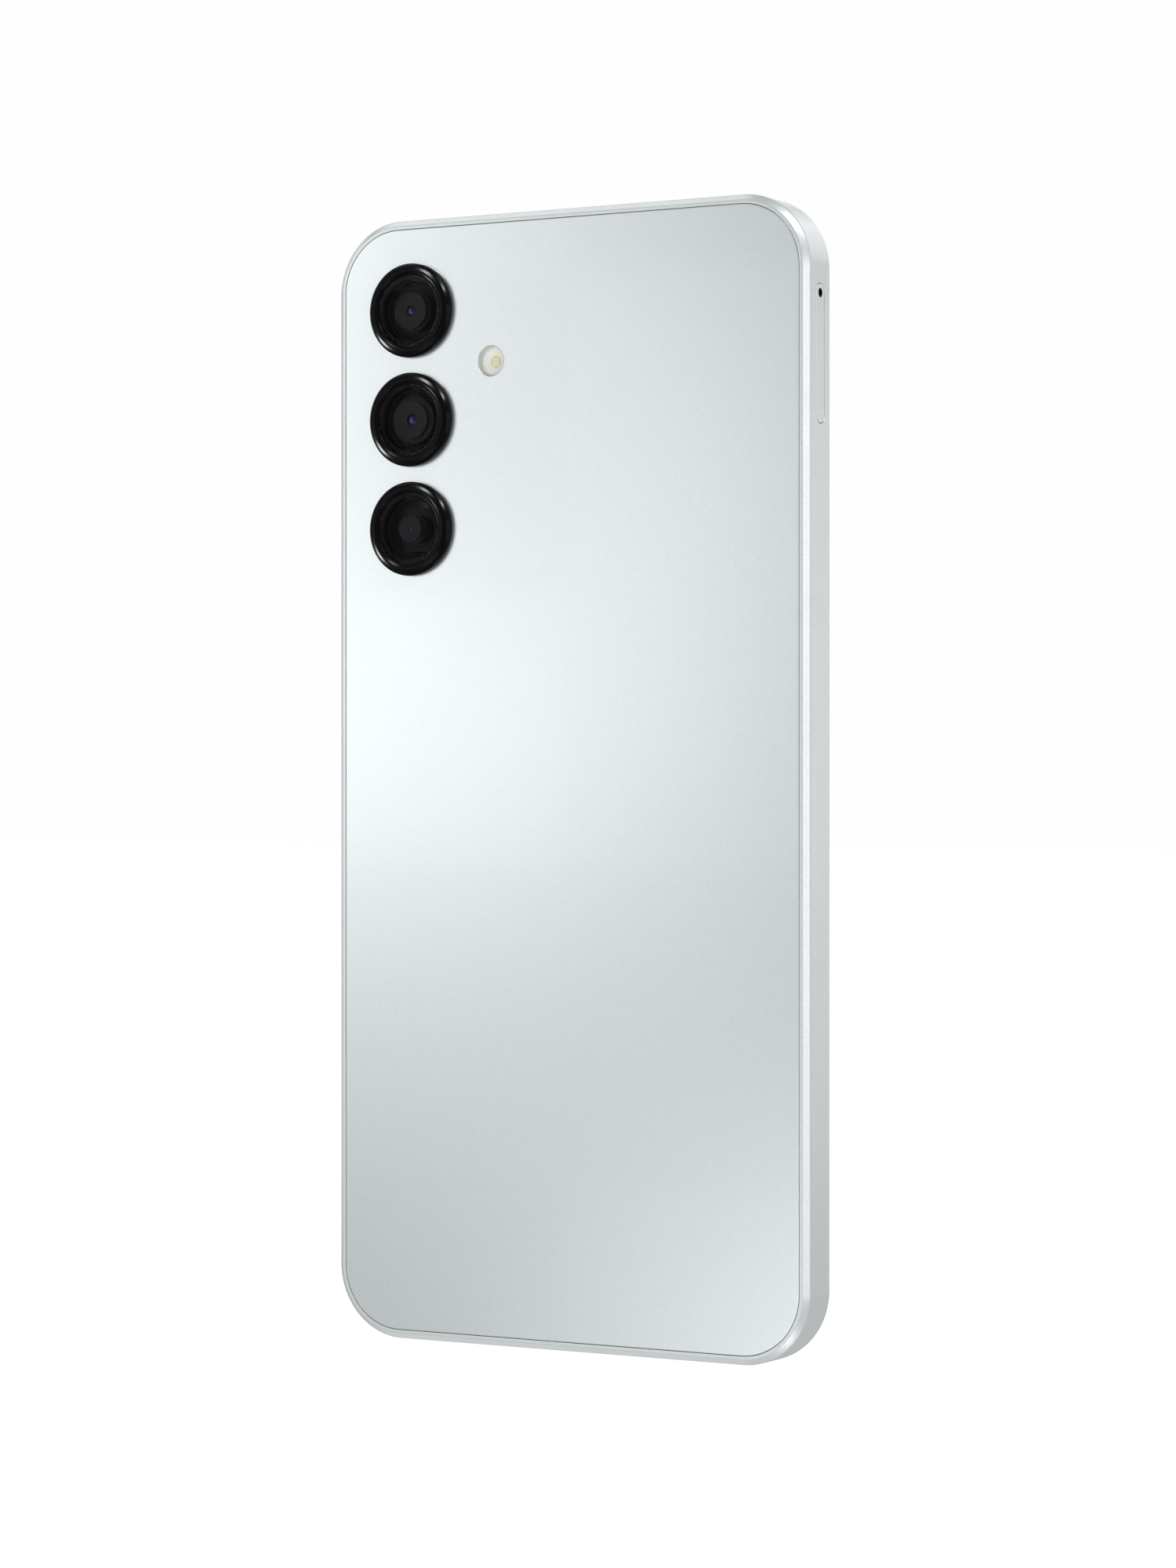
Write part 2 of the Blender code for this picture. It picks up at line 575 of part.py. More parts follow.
def make_sub_board():
    outline = end_outline(SHELF_INSET, SUB_BOARD_TOP, top=False)
    board = plate("sub_board", outline, BOARD_BACK, BOARD_FRONT, GREEN_BOARD)
    cut_boss_clearances(board, LOWER_SCREWS)
    through = (BOARD_BACK - OVERCUT, BOARD_FRONT + OVERCUT)
    notch_half = USB_OUTSIDE[0] / 2 + 3.5 * FIT
    cut(board, block("usb_notch", (-notch_half, notch_half), through, (0.0, USB_Z[1] + 4 * FIT)))
    mic_x = (BOTTOM_MIC_X - MIC_HALF, BOTTOM_MIC_X + MIC_HALF)
    block("bottom_microphone", mic_x, (3.4, ON_BOARD), (3.6, 6.0), BRIGHT_TIN)


def make_usb_socket():
    shell = end_slot("usb_shell", 0.0, MID_DEPTH, USB_OUTSIDE, USB_Z, STEEL, steps=8)
    inside = (USB_Z[0] - OVERCUT, USB_Z[1] + OVERCUT)
    cut(shell, end_slot("usb_shell_inside", 0.0, MID_DEPTH, USB_INSIDE, inside, steps=8))
    base_size = (USB_INSIDE[0] - 0.1, USB_INSIDE[1] - 0.1)
    tongue = end_slot("usb_tongue", 0.0, MID_DEPTH, base_size, (6.6, 7.5), BLACK_PLASTIC, steps=8)
    blade = block("usb_blade", (-3.35, 3.35), (MID_DEPTH - 0.35, MID_DEPTH + 0.35), (1.4, 7.0))
    join(tongue, blade)


def make_speaker():
    inset = SHELF_INSET + 0.4
    half = HALF - inset
    radius = CORNER_RADIUS - inset
    corner = arc(-half + radius, inset + radius, radius, 180, 270)
    outline = corner + [(SPEAKER_RIGHT, inset), (SPEAKER_RIGHT, SPEAKER_TOP), (-half, SPEAKER_TOP)]
    box = plate("speaker_box", outline, 2.05, ON_BOARD, BLACK_PLASTIC)
    x0, x1, z0, z1 = SPEAKER_POCKET
    pocket = plate("driver_pocket", rounded_rectangle(x0, x1, z0, z1, 2.0, 4), 1.0, 4.3)
    port = block("speaker_port", (x0 + 0.6, x1 - 0.6), (3.5, 4.2), (0.0, z0 + OVERCUT))
    cut(box, pocket, port)
    gap = 0.3
    driver = rounded_rectangle(x0 + gap, x1 - gap, z0 + gap, z1 - gap, 1.7, 4)
    plate("speaker_driver", driver, 2.2, 3.6, DARK_MESH)
    mesh_x = sum(SPEAKER_SLOTS_X) / len(SPEAKER_SLOTS_X)
    mesh_z = (WALL + CONTACT, WALL + 0.3)
    end_slot("speaker_mesh", mesh_x, MID_DEPTH, (16.4, 2.2), mesh_z, DARK_MESH)


def make_battery():
    outline = rounded_rectangle(-BATTERY_HALF, BATTERY_HALF, *BATTERY_Z, 1.5, 4)
    plate("battery", outline, *BATTERY_DEPTH, BATTERY_FOIL)


def make_main_flex():
    """Runs over the back of the battery, from the sub board's socket to the main board's."""
    over = 1.27
    low, high = BATTERY_Z
    path = (
        (4.6, 23.4),
        (4.6, 27.6),
        (4.3, 28.6),
        (3.5, 29.4),
        (2.3, 29.8),
        (1.6, 30.2),
        (over, 31.2),
        (over, high - 0.2),
        (1.6, high + 0.8),
        (2.3, high + 1.4),
        (3.5, high + 1.9),
        (4.3, high + 2.8),
        (4.6, high + 4.0),
        (4.6, high + 7.6),
    )
    ribbon("main_flex", path, MAIN_FLEX_X, 0.12, ORANGE_FLEX)


def make_coax_cable():
    """The aerial cable, in the channel between the battery and the frame."""
    channel_x, channel_depth = 34.5, 3.4
    plug_depth = BOARD_BACK - 0.5
    bottom, top = (33.2, 20.5), (33.6, 122.0)
    route = [
        (bottom[0] + 0.3, plug_depth, bottom[1]),
        (bottom[0] + 0.9, plug_depth - 0.1, bottom[1] + 2.4),
        (channel_x, 3.7, 26.5),
        (channel_x, channel_depth, 31.0),
        (channel_x, channel_depth, 71.0),
        (channel_x, channel_depth, 111.0),
        (channel_x, 3.7, 115.5),
        (top[0] + 0.7, plug_depth - 0.1, top[1] - 2.6),
        (top[0] + 0.2, plug_depth, top[1]),
    ]
    curve = bpy.data.curves.new("coax_cable", "CURVE")
    curve.dimensions = "3D"
    curve.bevel_depth = 0.4 * MM
    curve.bevel_resolution = 2
    curve.render_resolution_u = 0
    curve.use_fill_caps = True
    spline = curve.splines.new("POLY")
    points = smooth_route(route, steps=5)
    spline.points.add(len(points) - 1)
    for target, (x, depth, z) in zip(spline.points, points):
        target.co = (x * MM, (Y_BACK + depth) * MM, z * MM, 1.0)
    curve.materials.append(BLACK_PLASTIC("coax_cable"))
    cable = bpy.data.objects.new("coax_cable", curve)
    bpy.context.scene.collection.objects.link(cable)


def smooth_route(route, steps):
    """Points on a smooth curve through the route, steps of them to each stretch."""
    points = [Vector(p) for p in route]
    padded = [points[0], *points, points[-1]]
    result = []
    for a, b, c, d in zip(padded, padded[1:], padded[2:], padded[3:]):
        linear = c - a
        square = 2 * a - 5 * b + 4 * c - d
        cubic = 3 * b - a - 3 * c + d
        for t in (i / steps for i in range(steps)):
            result.append(b + 0.5 * (linear * t + square * t**2 + cubic * t**3))
    return [*result, points[-1]]


def make_motor():
    x, z = MOTOR_X, MOTOR_Z
    outside, inside, eye = MOTOR_RADIUS, MOTOR_RADIUS - SHEET, 0.6
    roof = MOTOR_FACE + SHEET
    case = (
        (outside, ON_BOARD),
        (outside, MOTOR_FACE),
        (eye, MOTOR_FACE),
        (eye, roof),
        (inside, roof),
        (inside, ON_BOARD),
    )
    turned("motor_case", case, x, z, STEEL, hollow=True)
    base_radius, base_face, shaft_radius = inside - FIT, 4.45, 0.35
    base = (
        (shaft_radius, MOTOR_FACE + FIT),
        (shaft_radius, base_face),
        (base_radius, base_face),
        (base_radius, ON_BOARD),
    )
    turned("motor_base", base, x, z, STEEL)
    bush, weight = 1.1, inside - 0.35
    rotor_depth = (roof + SHEET, base_face - SHEET)
    outline = arc(x, z, weight, 190, 350, 12) + arc(x, z, bush, 350, 550, 10)
    rotor = plate("vibration_rotor", outline, *rotor_depth, STEEL)
    cut(rotor, bore("rotor_bore", shaft_radius + FIT, x, z, steps=12))
    put_origin(rotor, x, sum(rotor_depth) / 2, z)


# ---------------------------------------------------------------- brackets and screws
def make_brackets():
    depth = (BRACKET_BACK, BRACKET_FRONT)
    upper = plate("upper_bracket", end_outline(SHELF_INSET, 113.8, top=True), *depth, BLACK_PLASTIC)
    for name, z in LENS_Z.items():
        cut(upper, bore(f"{name}_bracket_hole", RING_WINDOW, LENS_X, z))
    cut(upper, bore("flash_bracket_hole", FLASH_RADIUS + 1.0, FLASH_X, FLASH_Z))
    lower = plate("lower_bracket", end_outline(SHELF_INSET, SUB_BOARD_TOP, top=False), *depth, BLACK_PLASTIC)
    for bracket, screws in ((upper, UPPER_SCREWS), (lower, LOWER_SCREWS)):
        for i, (x, z) in enumerate(screws):
            seat = bore(f"{bracket.name}_seat_{i}", HEAD_RADIUS + FIT, x, z, (0.0, BRACKET_SEAT), steps=16)
            hole = bore(f"{bracket.name}_hole_{i}", SHANK_RADIUS + FIT, x, z, steps=12)
            cut(bracket, seat, hole)


def make_screws():
    recess = 0.5
    profile = (
        (recess, HEAD_DEPTH[0] + 0.22),
        (recess, HEAD_DEPTH[0]),
        (HEAD_RADIUS, HEAD_DEPTH[0]),
        (HEAD_RADIUS, HEAD_DEPTH[1]),
        (SHANK_RADIUS, HEAD_DEPTH[1]),
        (SHANK_RADIUS, SHANK_TIP),
    )
    for prefix, screws in (("upper_screw", UPPER_SCREWS), ("lower_screw", LOWER_SCREWS)):
        for i, (x, z) in enumerate(screws, 1):
            turned(f"{prefix}_{i}", profile, x, z, STEEL, steps=12)


# ---------------------------------------------------------------- keys
def key_sections(length):
    """A key from its face inwards: the cap, then the wider flange that keeps it in."""
    face_x = -HALF - ISLAND_RISE - KEY_RISE
    edge = 0.15
    flange = (length + FLANGE_BORDER[0], KEY_WIDTH + FLANGE_BORDER[1])
    return [
        (face_x, length - 2 * edge, KEY_WIDTH - 2 * edge),
        (face_x + edge, length, KEY_WIDTH),
        (FLANGE_X, length, KEY_WIDTH),
        (FLANGE_X, *flange),
        (NUB_X, *flange),
    ]


def key_nub(name, z):
    return side_slots(name, [(x, 2.4, 1.4) for x in (NUB_X - 0.2, NUB_TIP_X)], z, MID_DEPTH)


def make_keys():
    power = side_slots("power_key", key_sections(POWER_LENGTH), POWER_Z, MID_DEPTH, SATIN_SILVER)
    join(power, key_nub("power_nub", POWER_Z))
    put_origin(power, NUB_X, MID_DEPTH, POWER_Z)
    volume = side_slots("volume_key", key_sections(VOLUME_LENGTH), VOLUME_Z, MID_DEPTH, SATIN_SILVER)
    for name, offset in (("volume_up_nub", NUB_OFFSET), ("volume_down_nub", -NUB_OFFSET)):
        join(volume, key_nub(name, VOLUME_Z + offset))
    put_origin(volume, NUB_X, MID_DEPTH, VOLUME_Z)
    half_width = 1.55
    board_depth = (MID_DEPTH - half_width, MID_DEPTH + half_width)
    block("key_switch_board", SWITCH_BOARD_X, board_depth, SWITCH_BOARD_Z, ORANGE_FLEX)
    domes = {
        "power_switch_dome": POWER_Z,
        "volume_up_dome": VOLUME_Z + NUB_OFFSET,
        "volume_down_dome": VOLUME_Z - NUB_OFFSET,
    }
    for name, z in domes.items():
        foot_x, foot, crown = SWITCH_BOARD_X[0] - CONTACT, 2.8, 1.4
        sections = [(foot_x, foot), (foot_x - 0.12, foot), (foot_x - 0.3, crown)]
        side_slots(name, [(x, size + 1e-3, size) for x, size in sections], z, MID_DEPTH, STEEL)


# ---------------------------------------------------------------- card tray and its ejector
def make_tray():
    face = [(HALF - TRAY_FACE, TRAY_LENGTH, TRAY_WIDTH), (HALF, TRAY_LENGTH, TRAY_WIDTH)]
    tray = side_slots("sim_tray", face, TRAY_Z, MID_DEPTH, SATIN_SILVER, steps=10)
    join(tray, block("tray_body", (TRAY_INNER_X, HALF - 0.5), TRAY_BODY_DEPTH, TRAY_BODY_Z))
    pocket_depth = (TRAY_BODY_DEPTH[0] - OVERCUT, TRAY_BODY_DEPTH[0] + 0.72)
    for name, (x, length, width) in CARD_POCKETS.items():
        pocket_z = (TRAY_BODY_MIDDLE - width / 2, TRAY_BODY_MIDDLE + width / 2)
        cut(tray, block(name, (x, x + length), pocket_depth, pocket_z))
    cut(tray, rod_along_x("eject_hole", (HALF - TRAY_FACE - OVERCUT, HALF + OVERCUT), EJECT_RADIUS, EJECT_Z))
    put_origin(tray, HALF, MID_DEPTH, TRAY_Z)
    seal = side_slots("tray_seal", [(x, *SEAL_SIZE) for x in SEAL_X], TRAY_BODY_MIDDLE, MID_DEPTH, GREY_RUBBER)
    inside_z = (TRAY_BODY_Z[0] - CONTACT, TRAY_BODY_Z[1] + CONTACT)
    inside_depth = (TRAY_BODY_DEPTH[0] - CONTACT, TRAY_BODY_DEPTH[1] + CONTACT)
    cut(seal, block("seal_inside", (SEAL_X[0] - OVERCUT, SEAL_X[1] + OVERCUT), inside_depth, inside_z))


def make_socket_and_ejector():
    low, high = TRAY_BODY_Z[0] - 0.5, TRAY_BODY_Z[1] + 0.5
    socket = block("sim_socket", SOCKET_X, (SOCKET_BACK, ON_BOARD), (low, high), STEEL)
    for i, x in enumerate((13.0, 30.5)):
        ear_depth = (SOCKET_BACK + 0.2, ON_BOARD)
        join(socket, block(f"rod_guide_{i}", (x, x + 2.5), ear_depth, (high - FIT, EJECT_Z + 1.1)))
    through = (SOCKET_X[0] - OVERCUT, SOCKET_X[1] + OVERCUT)
    side_wall = 0.3
    inside_depth = (SOCKET_BACK + SHEET, ON_BOARD + OVERCUT)
    inside = block("socket_inside", through, inside_depth, (low + side_wall, high - side_wall))
    cut(socket, inside, rod_along_x("guide_bore", through, ROD_RADIUS + FIT, EJECT_Z))
    rod_end = LEVER_X + LEVER_HALF_WIDTH + 0.3
    rod = rod_along_x("eject_rod", (rod_end, HALF - TRAY_FACE - 0.3), ROD_RADIUS, EJECT_Z, STEEL)
    put_origin(rod, rod_end, MID_DEPTH, EJECT_Z)
    half, boss = LEVER_HALF_WIDTH, 2 * LEVER_HALF_WIDTH
    left, right, toe = LEVER_X - half, LEVER_X + half, LEVER_X + 0.95
    foot_z, head_z = LEVER_Z - 4.0, LEVER_Z + 4.8
    outline = (
        [(left, foot_z), (toe, foot_z), (toe, foot_z + 1.6), (right, foot_z + 2.3)]
        + arc(LEVER_X, LEVER_Z, boss, -60, 60, 6)
        + [(right, head_z), (left, head_z)]
        + arc(LEVER_X, LEVER_Z, boss, 120, 240, 6)
    )
    lever = plate("eject_lever", outline, *LEVER_DEPTH, STEEL)
    cut(lever, bore("lever_bore", 0.5 + FIT, LEVER_X, LEVER_Z, steps=12))
    put_origin(lever, LEVER_X, sum(LEVER_DEPTH) / 2, LEVER_Z)
    head, shank, head_back, head_front = 0.9, 0.5, 3.1, 3.4
    pin = ((head, head_back), (head, head_front), (shank, head_front), (shank, ON_BOARD))
    turned("lever_pin", pin, LEVER_X, LEVER_Z, STEEL, steps=12)


# ---------------------------------------------------------------- the whole phone
for old in list(bpy.data.objects):
    bpy.data.objects.remove(old, do_unlink=True)

make_side_frame()
make_rear_cover()
make_lens_rings()
make_flash()
make_cameras()
make_mid_plate()
make_display()
make_main_board()
make_sub_board()
make_usb_socket()
make_speaker()
make_battery()
make_main_flex()
make_coax_cable()
make_motor()
make_brackets()
make_screws()
make_keys()
make_tray()
make_socket_and_ejector()
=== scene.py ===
# %% [markdown]
# # A smartphone, piece by piece
#
# The object is a slab phone, 164 mm tall and 8 mm thick. A moulded frame runs round it, a glossy
# sheet closes the back, glass closes the front, and three camera rings stand off the rear corner.
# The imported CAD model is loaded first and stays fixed: every piece made here takes its place from
# it.

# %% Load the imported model
import math

import bmesh
import bpy
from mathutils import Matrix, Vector


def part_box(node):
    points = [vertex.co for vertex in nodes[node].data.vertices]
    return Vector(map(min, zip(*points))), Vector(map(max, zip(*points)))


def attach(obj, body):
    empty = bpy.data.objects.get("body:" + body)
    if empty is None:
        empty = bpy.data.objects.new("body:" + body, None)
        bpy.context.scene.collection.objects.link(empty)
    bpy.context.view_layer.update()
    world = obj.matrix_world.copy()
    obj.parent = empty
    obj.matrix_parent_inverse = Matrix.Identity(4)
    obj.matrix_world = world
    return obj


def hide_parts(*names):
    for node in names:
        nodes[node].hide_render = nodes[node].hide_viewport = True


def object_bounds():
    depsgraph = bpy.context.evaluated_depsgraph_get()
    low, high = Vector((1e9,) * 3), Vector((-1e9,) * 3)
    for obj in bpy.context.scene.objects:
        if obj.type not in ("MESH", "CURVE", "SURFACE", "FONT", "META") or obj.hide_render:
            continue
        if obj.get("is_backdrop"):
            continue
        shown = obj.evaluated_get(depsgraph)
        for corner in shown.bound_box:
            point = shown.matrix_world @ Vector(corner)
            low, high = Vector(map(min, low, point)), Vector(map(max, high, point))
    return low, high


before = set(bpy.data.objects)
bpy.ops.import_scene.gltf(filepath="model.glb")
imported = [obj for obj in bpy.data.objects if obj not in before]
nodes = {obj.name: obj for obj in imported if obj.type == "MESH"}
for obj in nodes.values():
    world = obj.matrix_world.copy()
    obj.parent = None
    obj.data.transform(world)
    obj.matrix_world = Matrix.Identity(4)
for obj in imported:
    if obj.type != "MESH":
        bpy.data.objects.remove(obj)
cad_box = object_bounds()

# %% [markdown]
# ## Measures
#
# A drawing of a phone is in millimetres, so the script thinks in millimetres and turns them to
# metres where a mesh is made. x runs towards the card tray, depth runs in from the rear face, and z
# runs up. The main sizes are read from the CAD nodes, so the pieces and the CAD can't drift apart.
# MIDDLE is half way through the phone, and CORNER is the radius of its silhouette's corners.

# %% Main sizes
MM = 0.001
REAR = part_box("rear_cover")[0].y / MM
HALF, HEIGHT = (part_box("side_frame")[1][axis] / MM for axis in (0, 2))
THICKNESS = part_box("display_glass")[1].y / MM - REAR
MIDDLE = THICKNESS / 2
CORNER = 10.5
LENSES = ("ultrawide", "main", "macro")


def centre(node):
    """The middle of a CAD node as (x, depth, z), in millimetres."""
    low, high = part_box(node)
    x, y, z = (low + high) / 2 / MM
    return x, y - REAR, z


print(f"{2 * HALF:.1f} x {THICKNESS:.1f} x {HEIGHT:.1f} mm")

# %% [markdown]
# ## Making a surface
#
# Nearly every part of a phone is a moulding or a turned part: one section carried round an outline,
# or round an axis. So one function joins a row of equal loops into a skin, and the others only draw
# the loops. Its faces point outwards, and a ring is closed on itself instead of being capped. Flat
# faces keep straight shading beside their rounded edges because the normals are weighted by area.


# %% Skin from loops
SHARP_ANGLE = 40  # degrees between two faces, from which their edge is drawn sharp


def link(name, data):
    """Puts an object with this mesh, light or camera into the scene."""
    made = bpy.data.objects.new(name, data)
    bpy.context.scene.collection.objects.link(made)
    return made


def metres(x, depth, z):
    """A drawing's (x, depth, z) in millimetres as a place in the scene."""
    return x * MM, (REAR + depth) * MM, z * MM


def dress(piece, finishes):
    """Gives a piece its materials, and smooth shading with sharp corners and straight flats."""
    mesh = piece.data
    mesh.materials.clear()
    for finish in finishes:
        mesh.materials.append(finish)
    mesh.shade_smooth()
    mesh.set_sharp_from_angle(angle=math.radians(SHARP_ANGLE))
    if "straight" not in piece.modifiers:
        piece.modifiers.new("straight", "WEIGHTED_NORMAL").keep_sharp = True
    return piece


def skin(name, loops, finishes=(), closed=False, paint=None):
    """One surface through loops of points. paint picks a face's material by its middle.

    As it stands the pick is lost: dress() clears the slots, which puts each face on the first one.
    """
    bm = bmesh.new()
    rows = [[bm.verts.new(metres(*point)) for point in loop] for loop in loops]
    for row, after in list(zip(rows, rows[1:])) + ([(rows[-1], rows[0])] if closed else []):
        for i in range(len(row)):
            bm.faces.new((row[i - 1], row[i], after[i], after[i - 1]))
    if not closed:
        for row in (rows[0], rows[-1]):
            if (row[0].co - row[1].co).length > 1e-9:
                bm.faces.new(row)
    bmesh.ops.remove_doubles(bm, verts=bm.verts, dist=1e-8)
    bmesh.ops.recalc_face_normals(bm, faces=bm.faces)
    if paint:
        for face in bm.faces:
            x, y, z = face.calc_center_median() / MM
            face.material_index = paint(x, y - REAR, z)
    mesh = bpy.data.meshes.new(name)
    bm.to_mesh(mesh)
    bm.free()
    return dress(link(name, mesh), finishes)


def soften(points, closed=False, steps=4):
    """Rounds each point that has a third value, its curve's start as a distance from the point."""
    result = []
    for i, (u, v, *soft) in enumerate(points):
        corner = Vector((u, v))
        if not soft or not soft[0] or (not closed and i in (0, len(points) - 1)):
            result.append((u, v))
            continue
        before, after = (Vector(points[j][:2]) for j in (i - 1, (i + 1) % len(points)))
        start = corner + (before - corner).normalized() * soft[0]
        end = corner + (after - corner).normalized() * soft[0]
        for t in (step / steps for step in range(steps + 1)):
            result.append(tuple(start * (1 - t) ** 2 + corner * 2 * t * (1 - t) + end * t**2))
    return result


# %% [markdown]
# The loops come in four kinds: the phone's rounded silhouette, a circle about a line through the
# phone, and a slot with round ends that faces a long side or faces the top and bottom edges.


# %% Loops
def phone_loop(inset, depth, steps=36, lift=0.0, radius=None):
    """The phone's silhouette, drawn in by inset. lift raises the bottom edge by that much more."""
    radius = CORNER - inset if radius is None else radius
    points = []
    low, high = inset + lift + radius, HEIGHT - inset - radius
    side = HALF - inset - radius
    for quarter, (cx, cz) in enumerate(((side, high), (-side, high), (-side, low), (side, low))):
        for i in range(steps + 1):
            angle = math.radians(90 * (quarter + i / steps))
            points.append((cx + radius * math.cos(angle), depth, cz + radius * math.sin(angle)))
    return points


def circle_loop(x, z, radius, depth, steps=96):
    """A circle about the line through (x, z) that runs from back to front."""
    angles = [math.tau * i / steps for i in range(steps)]
    return [(x + radius * math.cos(a), depth, z + radius * math.sin(a)) for a in angles]


def slot_points(length, width, steps=16):
    """A slot's outline as (along, across) points."""
    straight, radius = (length - width) / 2, width / 2
    points = []
    for end, start in ((1, -90), (-1, 90)):
        for i in range(steps + 1):
            angle = math.radians(180 * i / steps + start)
            points.append((end * straight + radius * math.cos(angle), radius * math.sin(angle)))
    return points


def side_loops(sections, z, depth=MIDDLE, steps=16):
    """Slots along z at each section's (x, length, width)."""
    return [
        [(x, depth + v, z + u) for u, v in slot_points(length, width, steps)]
        for x, length, width in sections
    ]


def end_loops(sections, x, depth=MIDDLE, steps=16):
    """Slots along x at each section's (z, length, width)."""
    return [
        [(x + u, depth + v, z) for u, v in slot_points(length, width, steps)]
        for z, length, width in sections
    ]


def turn(name, profile, x, z, finishes=(), closed=False, steps=96, paint=None):
    """A turned part: a profile of (radius, depth) points carried round the line through (x, z)."""
    loops = [circle_loop(x, z, radius, depth, steps) for radius, depth in soften(profile, closed)]
    return skin(name, loops, finishes, closed, paint)


def block_loops(x, depth, z, radius, soft, steps=4):
    """A flat block with rounded upright corners, and with its front and back edges softened."""
    corners = [(x[1], z[1], -1, -1), (x[0], z[1], 1, -1), (x[0], z[0], 1, 1), (x[1], z[0], -1, 1)]
    levels = ((soft, depth[0]), (0.0, depth[0] + soft), (0.0, depth[1] - soft), (soft, depth[1]))
    loops = []
    for shrink, at in levels:
        loop = []
        for quarter, (cx, cz, inward_x, inward_z) in enumerate(corners):
            for i in range(steps + 1):
                angle = math.radians(90 * (quarter + i / steps))
                reach = radius - shrink
                px = cx + inward_x * radius + reach * math.cos(angle)
                loop.append((px, at, cz + inward_z * radius + reach * math.sin(angle)))
        loops.append(loop)
    return loops


# %% [markdown]
# Holes are cut the way a mould or a mill makes them: with a tool of their own shape. The tool for an
# outside opening widens at its mouth, which leaves the small bevel that a real opening always has.


# %% Cutting and joining
OVERSHOOT = 0.5  # how far a cutting tool stands out of the surface it enters, in mm
MERGE = 2e-7  # metres: a boolean leaves some corners as two points this close together


def settle(piece):
    """Turns what the modifiers make into the piece's own plain mesh."""
    weighted = piece.modifiers.get("straight")
    if weighted:
        piece.modifiers.remove(weighted)
    depsgraph = bpy.context.evaluated_depsgraph_get()
    mesh = bpy.data.meshes.new_from_object(piece.evaluated_get(depsgraph))
    piece.modifiers.clear()
    piece.data = mesh
    bm = bmesh.new()
    bm.from_mesh(mesh)
    bmesh.ops.remove_doubles(bm, verts=bm.verts, dist=MERGE)
    bmesh.ops.dissolve_degenerate(bm, edges=bm.edges, dist=MERGE / 2)
    bm.to_mesh(mesh)
    bm.free()
    return piece


def carve(piece, *tools, operation="DIFFERENCE"):
    """Cuts tools out of a piece, or joins them to it, and removes the tools."""
    finishes = list(piece.data.materials)
    for tool in tools:
        modifier = piece.modifiers.new(tool.name, "BOOLEAN")
        modifier.object, modifier.operation, modifier.solver = tool, operation, "EXACT"
    settle(piece)
    for tool in tools:
        bpy.data.objects.remove(tool)
    return dress(piece, finishes)


def mouth(surface, outward, inside, length, width, flare=0.1):
    """Sections of a slot tool that enters at surface, wider there by flare, and ends inside."""
    reach = flare + OVERSHOOT
    return [
        (surface + OVERSHOOT * outward, length + 2 * reach, width + 2 * reach),
        (surface - flare * outward, length, width),
        (inside, length, width),
    ]


def place(piece, body, slot, *replaced):
    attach(piece, body)
    if replaced:
        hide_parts(*replaced)
    print(f"{piece.name}: {len(piece.data.polygons)} faces")
    return piece


# %% [markdown]
# ## Finishes
#
# Each finish starts from what the real surface is and how it was made. One function turns a hex
# colour to linear light, one adds a node with its settings and links, one draws a texture whose
# features have a size in millimetres, and one makes a material whose plain values sit on the shader
# itself. Textures read object coordinates in metres, so they have that size on every piece.


# %% Helpers for finishes
def linear(code):
    """A hex sRGB colour as linear RGBA."""
    parts = [int(code[i : i + 2], 16) / 255 for i in (0, 2, 4)]
    return (*[c / 12.92 if c <= 0.04045 else ((c + 0.055) / 1.055) ** 2.4 for c in parts], 1.0)


def add_node(tree, kind, settings=None, inputs=None):
    """Adds a node. An input is a number, a colour or another node's socket."""
    made = tree.nodes.new(kind)
    for key, value in (settings or {}).items():
        setattr(made, key, value)
    for key, value in (inputs or {}).items():
        if isinstance(value, bpy.types.NodeSocket):
            tree.links.new(value, made.inputs[key])
        else:
            made.inputs[key].default_value = value
    return made


def grain(millimetres, detail=2.0, stretch=None, kind="Noise", output="Fac", **settings):
    """A texture whose features are so many millimetres apart: soft noise, unless kind says else.

    stretch draws it out along an axis. A texture's colour gives one random value for each cell.
    """

    def draw(tree, places):
        if stretch:
            inputs = {"Vector": places, "Scale": stretch}
            places = add_node(tree, "ShaderNodeMapping", inputs=inputs).outputs["Vector"]
        inputs = {"Vector": places, "Scale": 1 / (millimetres * MM)}
        if kind == "Noise":
            inputs["Detail"] = detail
        drawn = add_node(tree, f"ShaderNodeTex{kind}", settings, inputs).outputs[output]
        if output == "Color":
            parts = add_node(tree, "ShaderNodeSeparateColor", inputs={"Color": drawn}).outputs
            drawn = parts["Red"]
        return drawn

    return draw


